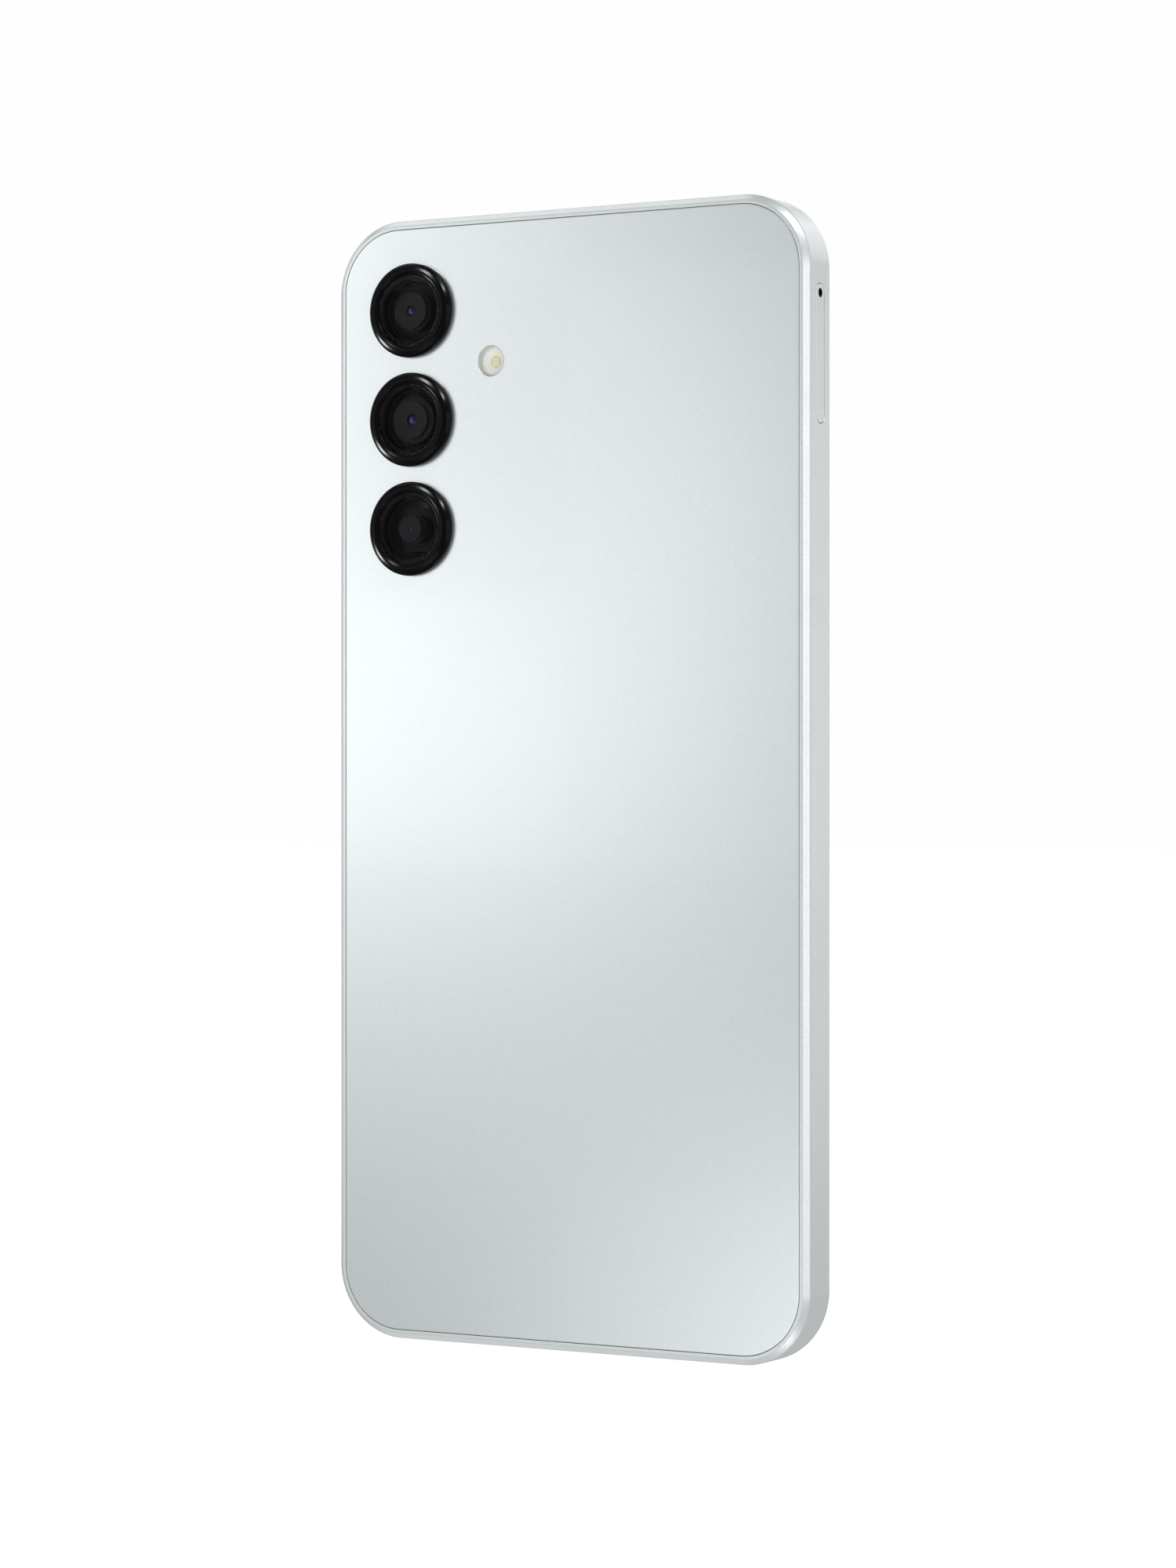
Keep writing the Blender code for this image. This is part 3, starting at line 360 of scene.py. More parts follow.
def finish(name, colour, roughness, values=None, tones=None, gloss=None, bumps=None):
    """A material with its plain values on the shader, and with a grain in what the real one varies.

    tones is a grain and evenly spaced colours, gloss is a grain and the roughness from low to high,
    and bumps is a grain and the height of its relief in millimetres.
    """
    material = bpy.data.materials.new(name)
    material.use_nodes = True
    tree = material.node_tree
    shader = tree.nodes["Principled BSDF"]
    plain = {"Base Color": linear(colour), "Roughness": roughness, **(values or {})}
    for key, value in plain.items():
        shader.inputs[key].default_value = value
    places = add_node(tree, "ShaderNodeTexCoord").outputs["Object"]
    if tones:
        draw, *colours = tones
        ramp = add_node(tree, "ShaderNodeValToRGB", inputs={"Fac": draw(tree, places)})
        stops = ramp.color_ramp.elements
        while len(stops) < len(colours):
            stops.new(0.5)
        for i, code in enumerate(colours):
            stops[i].position = i / (len(colours) - 1)
            stops[i].color = linear(code)
        tree.links.new(ramp.outputs["Color"], shader.inputs["Base Color"])
    if gloss:
        draw, low, high = gloss
        inputs = {"Value": draw(tree, places), "To Min": low, "To Max": high}
        spread = add_node(tree, "ShaderNodeMapRange", inputs=inputs)
        tree.links.new(spread.outputs["Result"], shader.inputs["Roughness"])
    if bumps:
        draw, height = bumps
        inputs = {"Distance": height * MM, "Height": draw(tree, places)}
        bump = add_node(tree, "ShaderNodeBump", inputs=inputs)
        tree.links.new(bump.outputs["Normal"], shader.inputs["Normal"])
    print(name)
    return material


# %% [markdown]
# The frame is glass-filled polycarbonate, moulded and then sprayed with a silver paint. The paint
# holds fine aluminium flakes, about 0.03 mm wide, which are drawn at 0.12 mm so that they show. The
# spray leaves a faint waviness a millimetre or so long, and the satin clear coat blurs reflections.

# %% Painted frame
painted_frame = finish(
    "painted_polycarbonate_satin_silver",
    "D2D7D8",
    0.36,
    {"Metallic": 0.55, "Coat Weight": 0.35, "Coat Roughness": 0.18},
    tones=(grain(0.12, kind="Voronoi", output="Color"), "CDD3D4", "D4D9DA", "DADEDF"),
    gloss=(grain(4.0), 0.32, 0.40),
    bumps=(grain(0.9, 1.0), 0.0006),
)

# %% [markdown]
# The rear cover is a clear moulded sheet with a pearl silver film behind it and a hard gloss coat on
# top. The film gives a broad, silky light, the coat gives a thin sharp one. Its pearl grains are
# drawn at 0.15 mm so that they show, and its gloss drifts slightly over a few centimetres.

# %% Pearl cover
pearl_cover = finish(
    "clear_coated_polycarbonate_pearl_silver",
    "DCE1E2",
    0.3,
    {"Metallic": 0.85, "Coat Weight": 0.3, "Coat Roughness": 0.04, "Coat IOR": 1.45},
    tones=(grain(0.15, kind="Voronoi", output="Color"), "D9DFE0", "DCE2E3", "DFE4E5"),
    gloss=(grain(28.0), 0.29, 0.31),
)

# %% [markdown]
# The camera rings are turned aluminium, polished and anodised black. An anodised layer is an oxide
# full of dye, so it reflects like a deep dark glaze and not like bare metal: only a strong lamp
# shows in it. The tool's turning marks survive as a slight unevenness in the gloss.

# %% Camera rings
ring_black = finish(
    "anodised_aluminium_polished_black",
    "030304",
    0.18,
    {"Specular IOR Level": 0.08},
    gloss=(grain(0.35, stretch=(1.0, 6.0, 1.0)), 0.15, 0.21),
)

# %% [markdown]
# The camera windows are flat polished glass. Its coating against reflections is a dark specular
# tint here. Black ink is printed on the inner face, and leaves a round opening over the lens. Below
# it stands the lens barrel, moulded in matt black with fine steps that trap stray light, and in its
# middle the first lens, whose coating turns reflections violet.

# %% Camera glass, print and lenses
clear_glass = finish(
    "polished_cover_glass_antireflective",
    "FFFFFF",
    0.0,
    {"Transmission Weight": 1.0, "IOR": 1.5, "Specular Tint": linear("3A3A48")},
)
black_print = finish(
    "screen_printed_black_ink",
    "060607",
    0.5,
    {"Specular IOR Level": 0.04},
    gloss=(grain(0.2), 0.42, 0.58),
)
lens_barrel = finish(
    "moulded_polycarbonate_matt_black",
    "222423",
    0.5,
    {"Specular IOR Level": 0.15},
    gloss=(grain(0.08), 0.45, 0.6),
)
violet_coat = {"IOR": 1.8, "Specular Tint": linear("9C8CF0")}
coated_lens = finish("moulded_lens_violet_coated", "07070F", 0.08, violet_coat)

# %% [markdown]
# The flash is a small white lamp package with a square of yellow phosphor, which glows when the
# blue chip under it is lit. A white cup throws its light forward through a clear moulded window,
# whose wall is meant to read as a thin grey rim.

# %% Flash finishes
clear_skin = {"Alpha": 0.15, "Coat Weight": 0.5, "Coat Roughness": 0.03}
flash_clear = finish("moulded_polycarbonate_clear", "FBFCF8", 0.06, clear_skin)
flash_rim = finish(
    "moulded_polycarbonate_grey_rim",
    "434A4C",
    0.5,
    {"Specular IOR Level": 0.2},
    gloss=(grain(0.3), 0.35, 0.5),
)
cup_white = finish("moulded_reflector_white", "FAF9F4", 0.4, gloss=(grain(0.3), 0.35, 0.5))
phosphor_tones = (grain(0.06, 4.0), "E8E09C", "F1ECBE")
phosphor = finish("silicone_phosphor_yellow", "E3D873", 0.45, tones=phosphor_tones)

# %% [markdown]
# The display is dark when it is off: toughened glass over a polariser. The glass is polished, the
# border is printed black from behind, and the polariser below has a soft grey-blue gloss.

# %% Display finishes
display_glass = finish(
    "toughened_display_glass",
    "FFFFFF",
    0.0,
    {"Transmission Weight": 1.0, "IOR": 1.5, "Specular Tint": linear("A8ACB0")},
)
polariser = finish(
    "laminated_polariser_dark",
    "0B0C10",
    0.22,
    {"Specular IOR Level": 0.15},
    gloss=(grain(0.5), 0.2, 0.26),
)

# %% [markdown]
# Inside are the plain engineering finishes. Each is a common material with the mark of how it was
# made: the sparkle of a moulded grain, the grain of rolled or stamped steel along one direction, the
# blotchy flow of a casting, the copper tracks that show through solder mask, or the weave of tape.

# %% Moulded and rubber finishes
black_moulded = finish(
    "moulded_glass_filled_nylon_black",
    "1B1B1D",
    0.5,
    gloss=(grain(0.8), 0.42, 0.6),
    bumps=(grain(0.15), 0.008),
)
foam_tape = finish("acrylic_foam_tape_black", "1A1A1B", 0.85, bumps=(grain(0.12, 4.0), 0.03))
soft_sheen = {"Sheen Weight": 0.15}
seal_rubber = finish("moulded_silicone_grey", "5A5C5E", 0.6, soft_sheen, bumps=(grain(0.1), 0.006))

# %% Metal finishes
METAL = {"Metallic": 1.0}
rolled = grain(0.4, 3.0, (1.0, 1.0, 0.06))
rolled_steel = finish(
    "stamped_stainless_steel",
    "B0B1B1",
    0.3,
    METAL,
    gloss=(rolled, 0.24, 0.42),
    bumps=(rolled, 0.002),
)
tin_plate = finish(
    "tin_plated_steel_sheet",
    "B8BAB9",
    0.34,
    METAL,
    tones=(grain(3.0), "A9ABAA", "BFC1C0"),
    gloss=(grain(0.6), 0.28, 0.46),
)
cast_metal = finish(
    "die_cast_magnesium",
    "9A9C9E",
    0.45,
    METAL,
    tones=(grain(6.0, 6.0), "8C8E90", "A5A7A8"),
    gloss=(grain(1.5), 0.36, 0.58),
    bumps=(grain(0.25), 0.01),
)
gold_plate = finish("gold_plated_contact", "D9B25A", 0.22, METAL, gloss=(grain(0.1), 0.16, 0.3))
woven_wire = finish(
    "woven_steel_mesh_black",
    "2B2C2E",
    0.45,
    {"Metallic": 0.7},
    gloss=(grain(0.1), 0.35, 0.55),
)

# %% Board, flex and battery finishes
tracks = grain(1.6, kind="Voronoi", output="Distance", distance="MANHATTAN", feature="F1")
solder_mask = finish(
    "glass_fibre_board_solder_mask",
    "1C3A2A",
    0.35,
    {"Coat Weight": 0.4},
    tones=(tracks, "17301F", "1E3E2C", "24523A", "1B3727"),
    bumps=(tracks, 0.02),
)
copper_lines = (grain(0.5, kind="Wave", bands_direction="X"), "6F4414", "B07A33")
varnished = {"Coat Weight": 0.3}
flex_film = finish("polyimide_film_over_copper", "8A5A1E", 0.32, varnished, tones=copper_lines)
battery_wrap = finish(
    "laminated_foil_pouch_black_film",
    "26272A",
    0.4,
    {"Coat Weight": 0.2},
    gloss=(grain(9.0, 4.0), 0.32, 0.5),
    bumps=(grain(7.0), 0.05),
)

# %% [markdown]
# Every CAD node whose shape is already right keeps it, and only takes one of these finishes.

# %% Finishes on the CAD nodes
KEPT = {
    black_moulded: ["speaker_box", "earpiece_receiver", "coax_cable"]
    + ["upper_bracket", "lower_bracket"],
    lens_barrel: ["ultrawide_camera", "macro_camera", "front_camera"]
    + ["main_camera_housing", "main_camera_barrel"],
    foam_tape: ["rear_cover_tape", "display_tape"],
    seal_rubber: ["tray_seal"],
    rolled_steel: ["sim_socket", "eject_rod", "eject_lever", "lever_pin", "motor_case"]
    + ["motor_base", "vibration_rotor", "power_switch_dome", "volume_up_dome", "volume_down_dome"],
    tin_plate: ["processor_shield", "top_microphone", "bottom_microphone"],
    cast_metal: ["mid_plate"],
    woven_wire: ["speaker_driver"],
    solder_mask: ["main_board", "sub_board"],
    flex_film: ["display_flex", "main_flex", "key_switch_board"],
    battery_wrap: ["battery"],
    polariser: ["display_panel"],
}
for material, names in KEPT.items():
    for name in names:
        nodes[name].data.materials.clear()
        nodes[name].data.materials.append(material)
print(sum(len(names) for names in KEPT.values()), "CAD nodes keep their shape")

# %% [markdown]
# ## Side frame
#
# The frame is one moulding. Its section is a band with a 45 degree bevel on each side, a flat rim
# that stands round the rear cover, and ledges inside that the cover and the display glass rest on.
# The section is drawn once, its corners are softened as the paint and the mould soften them, and it
# is carried round the silhouette. Then the keys' low island is joined on, and each opening is cut.

# %% Frame section
BAND = [
    (1.33, 0.0, 0.04), (0.83, 0.0, 0.1), (0.0, 0.83, 0.16), (0.0, 6.8, 0.3), (0.83, 7.7, 0.2),
    (1.2, 7.7, 0.04), (1.2, 7.1), (2.4, 7.1), (2.4, 5.55), (3.0, 5.55), (3.0, 1.05), (1.33, 1.05),
]  # fmt: skip
loops = [phone_loop(inset, depth) for inset, depth in soften(BAND, closed=True)]
side_frame = skin("frame_band", loops, [painted_frame], closed=True)

# %% [markdown]
# The island is a raised area 0.35 mm high that carries both keys, so that a thumb finds them. Its
# sides ease in and out of the band in an S-shaped ramp.

# %% Key island
ISLAND_LOW, ISLAND_HIGH, ISLAND_RISE = 101.5, 141.5, 0.35
island_sections = [(-HALF + 0.5, 40.0, 3.6)]
for i in range(9):
    t = i / 8
    ease = 0.5 - math.asin(1 - 2 * t) / math.pi
    island_sections.append((-HALF - ISLAND_RISE * t, 40.0 - 1.2 * ease, 3.6 - 0.6 * ease))
island = skin("island", side_loops(island_sections, (ISLAND_LOW + ISLAND_HIGH) / 2))
carve(side_frame, island, operation="UNION")

# %% [markdown]
# The openings: two key slots with wider recesses behind them, the card tray's slot with a hole for
# the ejector, the connector's opening, four loudspeaker slots and two microphone holes. A round hole
# is a slot that is a hair longer than it is wide.

# %% Openings in the frame
KEYS = {"power_key": 11.0, "volume_key": 20.0}
INSIDE = HALF - 3.6
HAIR = 0.001
tools = []
for key, length in KEYS.items():
    z = centre(key)[2]
    sections = mouth(-HALF - ISLAND_RISE, -1, -INSIDE, length + 0.3, 2.6, 0.08)
    tools.append(skin(f"{key}_slot", side_loops(sections, z)))
    recess = [(x, length + 2.2, 3.7) for x in (-37.6, -INSIDE)]
    tools.append(skin(f"{key}_recess", side_loops(recess, z)))
TRAY_Z, TRAY_LENGTH, TRAY_WIDTH, TRAY_FACE = 141.85, 19.5, 2.6, 1.1
body_low, body_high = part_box("tray_seal")
sections = mouth(HALF, 1, HALF - TRAY_FACE - 0.2, TRAY_LENGTH + 0.2, TRAY_WIDTH + 0.2, 0.06)
tools.append(skin("tray_mouth", side_loops(sections, TRAY_Z, steps=24)))
seal_length, seal_z = (body_high.z - body_low.z) / MM, (body_high.z + body_low.z) / 2 / MM
sections = [(x, seal_length + 0.4, 2.3) for x in (INSIDE, HALF - 0.5)]
tools.append(skin("tray_body", side_loops(sections, seal_z)))
_, rod_depth, rod_z = centre("eject_rod")
tools.append(skin("rod_hole", side_loops([(x, 1.0 + HAIR, 1.0) for x in (INSIDE, HALF)], rod_z)))
ends = [("connector", 0.0, 9.1, 3.3, 0.18), ("bottom_mic", 12.0, 1.0 + HAIR, 1.0, 0.06)]
ends += [(f"speaker_{i}", -27.0 + 4.1 * i, 3.0, 1.1, 0.1) for i in range(4)]
for name, x, length, width, flare in ends:
    tools.append(skin(f"{name}_opening", end_loops(mouth(0.0, -1, 4.0, length, width, flare), x)))
sections = mouth(HEIGHT, 1, HEIGHT - 4.0, 1.0 + HAIR, 1.0, 0.06)
tools.append(skin("top_mic_opening", end_loops(sections, 24.0)))
carve(side_frame, *tools)
place(side_frame, "phone_body", "frame_finish", "side_frame")

# %% [markdown]
# ## Rear cover
#
# The cover is a flat sheet 0.8 mm thick that drops into the frame's rim with a gap of 0.07 mm. The
# gap reads as a fine dark line, and the sheet's rounded edge gives that line a bright neighbour. The
# holes for the three camera rings and the flash are drilled through it.

# %% Cover sheet
EDGE = [(1.63, 0.0), (1.4, 0.0, 0.1), (1.4, 0.8, 0.1), (1.63, 0.8)]
loops = [phone_loop(inset, depth) for inset, depth in soften(EDGE)]
cover = skin("cover_sheet", loops, [pearl_cover])
tools = []
for lens in LENSES:
    x, _, z = centre(f"lens_ring_{lens}")
    tools.append(turn(f"{lens}_hole", [(6.1, -1.0), (6.1, 2.0)], x, z))
flash_x, _, flash_z = centre("flash_window")
FLASH_RADIUS, FLASH_GAP = 2.1, 0.14
FLASH_HOLE = FLASH_RADIUS + FLASH_GAP
profile = [(FLASH_HOLE + 0.5, -0.5), (FLASH_HOLE, 0.04), (FLASH_HOLE, 2.0)]
tools.append(turn("flash_hole", profile, flash_x, flash_z))
carve(cover, *tools)
place(cover, "phone_body", "cover_finish", "rear_cover")

# %% [markdown]
# ## Camera rings and windows
#
# Each ring is turned on a lathe: a neck that drops through the cover, a wall 13.8 mm across with a
# bevel, a crown that slopes gently outwards and a steep inner lip round the window. The bevel and
# the slope are what catch the light, so their edges are rounded. The window is a glass disc
# that sits 0.25 mm below the crown. The print is meant as a second material on its inner face.

# %% Rings and windows
RISE = -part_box("lens_ring_main")[0].y / MM + REAR
GLASS_OUT, GLASS_IN, GLASS_RADIUS = -RISE + 0.25, -0.65, 5.15
RING = [
    (6.9, -0.05, 0.03), (6.9, -0.85, 0.12), (6.5, -1.17, 0.09), (6.0, -1.35, 0.08),
    (5.74, -1.35, 0.07), (5.25, -1.1, 0.06), (5.25, -0.6), (4.6, -0.6), (4.6, 0.95), (6.0, 0.95),
    (6.0, -0.05),
]  # fmt: skip
OPENINGS = {"ultrawide": 2.35, "main": 2.5, "macro": 1.7}
for lens in LENSES:
    x, _, z = centre(f"lens_ring_{lens}")
    ring = turn(f"camera_ring_{lens}", RING, x, z, [ring_black], closed=True)
    place(ring, "phone_body", "ring_black", f"lens_ring_{lens}")
    opening = OPENINGS[lens]
    front = [(0.0, GLASS_OUT), (GLASS_RADIUS, GLASS_OUT, 0.1)]
    profile = [*front, (GLASS_RADIUS, GLASS_IN), (opening, GLASS_IN), (0.0, GLASS_IN)]

    def printed(fx, depth, fz, x=x, z=z, opening=opening):
        """1, the print, for a face on the inner side outside the opening, or on the rim."""
        out = math.hypot(fx - x, fz - z)
        return int((depth > GLASS_IN - 0.01 and out > opening) or out > GLASS_RADIUS - 0.01)

    window = turn(f"camera_window_{lens}", profile, x, z, [clear_glass, black_print], paint=printed)
    place(window, "phone_body", "lens_glass", f"lens_glass_{lens}")

# %% [markdown]
# Under each window stands the nose of its camera: a shallow funnel of fine steps, and the first lens
# in the middle, a dome that bulges by 0.28 of its radius. The main camera focuses by moving its
# barrel, so its nose rides on that barrel and stops short of the glass by more than the 0.3 mm that
# the barrel travels.

# %% Camera noses and first lenses
NOSES = {
    # name: body, lens radius, rim radius, depth of the rim, of the lens and of the foot
    "ultrawide": ("phone_body", 0.75, 2.75, -0.5, -0.3, 0.5),
    "main": ("focus_barrel", 0.85, 2.75, -0.2, 0.02, 0.8),
    "macro": ("phone_body", 0.45, 1.95, -0.5, -0.35, 0.5),
}
RIM_WIDTH, FUNNEL_STEPS = 0.18, 5
DOME_BEND, DOME_STEPS = 1.1, 10
for lens, (body, radius, rim, top, seat, foot) in NOSES.items():
    x, _, z = centre(f"lens_ring_{lens}")
    profile = [(rim, foot), (rim, top, 0.05), (rim - RIM_WIDTH, top, 0.03)]
    for i in range(FUNNEL_STEPS):
        t = (i + 1) / FUNNEL_STEPS
        out, depth = rim - RIM_WIDTH + (radius - rim + RIM_WIDTH) * t, top + (seat - top) * t
        profile += [(profile[-1][0], depth), (out, depth, 0.02)]
    profile += [(radius, seat + 0.3), (0.0, seat + 0.3)]
    nose = turn(f"camera_nose_{lens}", [(0.0, foot), *profile], x, z, [lens_barrel], steps=64)
    place(nose, body, "black_plastic")
    profile = []
    for i in range(DOME_STEPS + 1):
        a = DOME_BEND * i / DOME_STEPS
        out = (radius - 0.02) * math.sin(a) / math.sin(DOME_BEND)
        sunk = 0.28 * radius * (1 - math.cos(a)) / (1 - math.cos(DOME_BEND))
        profile.append((out, seat + sunk))
    profile += [(radius - 0.02, seat + 0.28), (0.0, seat + 0.28)]
    place(turn(f"camera_lens_{lens}", profile, x, z, [coated_lens], steps=64), body, "lens_glass")

# %% [markdown]
# ## Flash
#
# The window is flush with the cover. Fine moulded rings on its inner side spread the light. Below
# it are the white cup and, at its bottom, the lamp with its yellow phosphor.

# %% Flash window
R = FLASH_RADIUS
RIM, INNER = R - 0.14, R - 0.3
profile = [(0.0, 0.0), (RIM, 0.0), (R, 0.0, 0.06), (R, 0.85), (R + 0.7, 0.85), (R + 0.7, 1.0)]
profile.append((INNER, 1.0))
RIBS, RIB_FOOT, RIB_CREST = 7, 0.36, 0.5
for i in range(RIBS):
    out = INNER * (1 - (i + 0.5) / RIBS)
    profile += [(out + 0.06, RIB_CREST), (out, RIB_FOOT)]
profile.append((0.0, RIB_FOOT))


def rimmed(fx, depth, fz):
    """1, the grey rim, for a face on the window's wall."""
    return int(math.hypot(fx - flash_x, fz - flash_z) > RIM and depth < 0.9)


finishes = [flash_clear, flash_rim]
window = turn("flash_clear_window", profile, flash_x, flash_z, finishes, paint=rimmed)
place(window, "phone_body", "flash_window", "flash_window")

# %% Cup, lamp and phosphor
profile = [(R + 0.6, 1.02), (R + 0.6, 1.3, 0.02), (0.85, 1.72), (0.85, 1.5, 0.05)]
profile.append((R - 0.25, 1.02, 0.05))
cup = turn("flash_cup", profile, flash_x, flash_z, [cup_white], closed=True)
place(cup, "phone_body", "flash_window")
LAMP_BLOCKS = [
    # piece, half width, half height, depths, corner radius, softening, finish, replaced nodes
    ("flash_lamp", 1.5, 1.5, (1.75, 4.75), 0.2, 0.08, cup_white, ["flash_led"]),
    ("flash_phosphor", 0.65, 0.8, (1.42, 1.76), 0.12, 0.1, phosphor, []),
]
for name, wide, tall, depths, radius, soft, material, replaced in LAMP_BLOCKS:
    across, up = (flash_x - wide, flash_x + wide), (flash_z - tall, flash_z + tall)
    block = skin(name, block_loops(across, depths, up, radius, soft), [material])
    place(block, "phone_body", "flash_lamp", *replaced)

# %% [markdown]
# ## Display
#
# The front glass is ground with a small round edge. The border is black ink behind it, wider at the
# bottom, with a tongue round the front camera. The ink is a thin sheet of its own here, cut from the
# silhouette with the shape of the picture area, so its edge stays sharp at any distance.

# %% Front glass
GLASS_BACK = THICKNESS - 0.55
GLASS_EDGE = [(1.9, GLASS_BACK), (1.3, GLASS_BACK, 0.06), (1.3, THICKNESS, 0.32), (1.9, THICKNESS)]
loops = [phone_loop(inset, depth) for inset, depth in soften(GLASS_EDGE, steps=6)]
glass = skin("front_glass", loops, [display_glass])
ear_z = centre("earpiece_mesh")[2]
slit = block_loops((-5.5, 5.5), (7.0, 9.0), (ear_z - 0.55, ear_z + 0.85), 0.55, 0.01, 8)
carve(glass, skin("earpiece_slit", slit))
place(glass, "phone_body", "display_glass", "display_glass")

# %% Printed border
camera_x, _, camera_z = centre("front_camera")
INK = (GLASS_BACK - 0.05, GLASS_BACK - 0.01)
THROUGH = (6.5, 8.5)  # depths of the tools that cut the ink
border = skin("border_print", [phone_loop(1.36, depth) for depth in INK], [black_print])
carve(border, skin("picture_area", [phone_loop(3.3, depth, lift=3.2) for depth in THROUGH]))
tongue = block_loops((-3.6, 3.6), INK, (154.3, 162.0), 3.5, 0.001, 12)
carve(border, skin("camera_tongue", tongue), operation="UNION")
eye = [(1.25, depth) for depth in THROUGH]
carve(border, turn("camera_eye", eye, camera_x, camera_z, steps=48))
dress(border, [black_print])
place(border, "phone_body", "display_glass")

# %% Front camera
nose = [(0.0, 7.15), (1.8, 7.15), (1.8, 7.24, 0.02), (1.15, 7.24, 0.02), (0.85, 7.18), (0.0, 7.18)]
nose = turn("front_camera_nose", nose, camera_x, camera_z, [lens_barrel], steps=48)
place(nose, "phone_body", "black_plastic")
bulge = [(0.0, 7.26), (0.3, 7.25), (0.6, 7.225), (0.8, 7.19), (0.8, 7.185), (0.0, 7.185)]
bulge = turn("front_camera_lens", bulge, camera_x, camera_z, [coated_lens], steps=48)
place(bulge, "phone_body", "lens_glass")

# %% [markdown]
# ## Keys
#
# Each key is a moulded cap, painted like the frame, on a wider flange that stops it from falling
# out. Small nubs behind it press the switches: one on the power key, two on the long volume rocker.

# %% Keys
NUBS = {"power_key": [0.0], "volume_key": [-7.0, 7.0]}
KEY_WIDTH, FLANGE, INNER_FACE = 2.3, -37.2, -36.7
for key, length in KEYS.items():
    z = centre(key)[2]
    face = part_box(key)[0].x / MM
    rounding = [(0.0, 0.56), (0.0, 0.30), (0.04, 0.12), (0.14, 0.03), (0.3, 0.0)]
    cap = [(face + back, shrink) for back, shrink in rounding] + [(FLANGE, 0.0)]
    sections = [(x, length - 2 * shrink, KEY_WIDTH - 2 * shrink) for x, shrink in cap]
    sections += [(x, length + 1.6, KEY_WIDTH + 0.8) for x in (FLANGE, INNER_FACE)]
    piece = skin(key + "_cap", side_loops(sections, z), [painted_frame])
    nub = [(x, 2.4, 1.4) for x in (INNER_FACE - 0.2, INNER_FACE + 0.5)]
    nubs = [skin(f"nub_{i}", side_loops(nub, z + at)) for i, at in enumerate(NUBS[key])]
    carve(piece, *nubs, operation="UNION")
    place(piece, key, "frame_finish", key)

# %% [markdown]
# ## Card tray
#
# The tray's face closes its slot, and the hole in it takes the ejecting pin. Behind it is a frame
# with two pockets: a memory card's outline with its step, and a small SIM's with its cut corner.
# Windows in the pockets' floor let the contacts below reach the cards.

# %% Card tray
inner_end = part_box("sim_tray")[0].x / MM
carrier = block_loops((inner_end, HALF - 0.5), (3.4, 4.5), (132.9, 148.5), 0.8, 0.12)
tray = skin("tray_carrier", carrier, [painted_frame])
face_start = HALF - TRAY_FACE
cap = [(face_start, 0.06), (face_start + 0.06, 0.0)]
cap += [(HALF - 0.12, 0.0), (HALF - 0.035, 0.035), (HALF, 0.12)]
sections = [(x, TRAY_LENGTH - 2 * shrink, TRAY_WIDTH - 2 * shrink) for x, shrink in cap]
carve(tray, skin("tray_cap", side_loops(sections, TRAY_Z, steps=24)), operation="UNION")


# %% Pockets, windows and the ejector's hole
POCKETS = {
    # card: corners as (x, z), then its window's span in x and in z
    "memory": (
        [(12.2, 135.2), (27.2, 135.2), (27.2, 144.8), (22.0, 144.8), (20.8, 146.2), (12.2, 146.2)],
        (13.6, 20.4),
        (136.8, 144.6),
    ),
    "sim": (
        [(27.7, 134.55), (34.9, 134.55), (36.5, 136.15), (36.5, 146.85), (27.7, 146.85)],
        (29.0, 35.2),
        (136.8, 145.4),
    ),
}
CARD_CORNER = 0.4
tools = []
for card, (corners, across, up) in POCKETS.items():
    outline = soften([(x, z, CARD_CORNER) for x, z in corners], closed=True)
    pocket = [[(x, depth, z) for x, z in outline] for depth in (2.0, 4.12)]
    tools.append(skin(f"{card}_pocket", pocket))
    tools.append(skin(f"{card}_window", block_loops(across, (3.5, 5.5), up, 0.8, 0.01)))
HOLE = 1.3
sections = mouth(HALF, 1, face_start - 1.0, HOLE + HAIR, HOLE, 0.03)
tools.append(skin("eject_hole", side_loops(sections, rod_z, steps=24)))
carve(tray, *tools)
place(tray, "card_tray", "frame_finish", "sim_tray")

# %% [markdown]
# Black ink lines the ejector's hole: painted shade for the shadow inside it, so it reads as a dark
# dot.

# %% Painted shade in the ejector's hole
# A sleeve of black ink in the hole: painted shade, standing for the shadow deep inside it.
hole_shade_sleeve = [(HALF - 0.1, HOLE), (face_start, HOLE)]
hole_shade_sleeve += [(face_start, HOLE - 0.2), (HALF - 0.12, HOLE - 0.06)]
hole_shade_sleeve = side_loops([(x, width + HAIR, width) for x, width in hole_shade_sleeve], rod_z, steps=24)
hole_shade_sleeve = skin("eject_hole_painted_shade", hole_shade_sleeve, [black_print], closed=True)
place(hole_shade_sleeve, "card_tray", "black_plastic")

# %% [markdown]
# ## Connector
#
# The socket is a drawn steel shell with round ends. Its tongue is moulded round a steel plate and
# carries twelve gold contacts on each side, 0.5 mm apart. The contacts repeat, so Geometry Nodes lay
# them: a line of points, one small block on each, and the same again on the other side.

# %% Connector shell and tongue
x, depth, _ = centre("usb_shell")
low, high = (corner.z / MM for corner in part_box("usb_shell"))
outer = [(low, 8.80, 3.00), (low + 0.05, 8.9, 3.1), (high, 8.9, 3.1)]  # (z, length, width)
inner = [(high, 8.34, 2.56), (low + 0.12, 8.34, 2.56), (low, 8.46, 2.68)]
shell = skin("connector_shell", end_loops(outer + inner, x, depth), [rolled_steel], closed=True)
place(shell, "phone_body", "steel", "usb_shell")
blade = block_loops((-3.35, 3.35), (depth - 0.35, depth + 0.35), (1.4, 7.0), 0.3, 0.1)
blade = skin("connector_tongue", blade, [black_moulded])
base = skin("base", end_loops([(6.6, 8.24, 2.46), (7.5, 8.24, 2.46)], x, depth))
carve(blade, base, operation="UNION")
place(blade, "phone_body", "black_plastic", "usb_tongue")

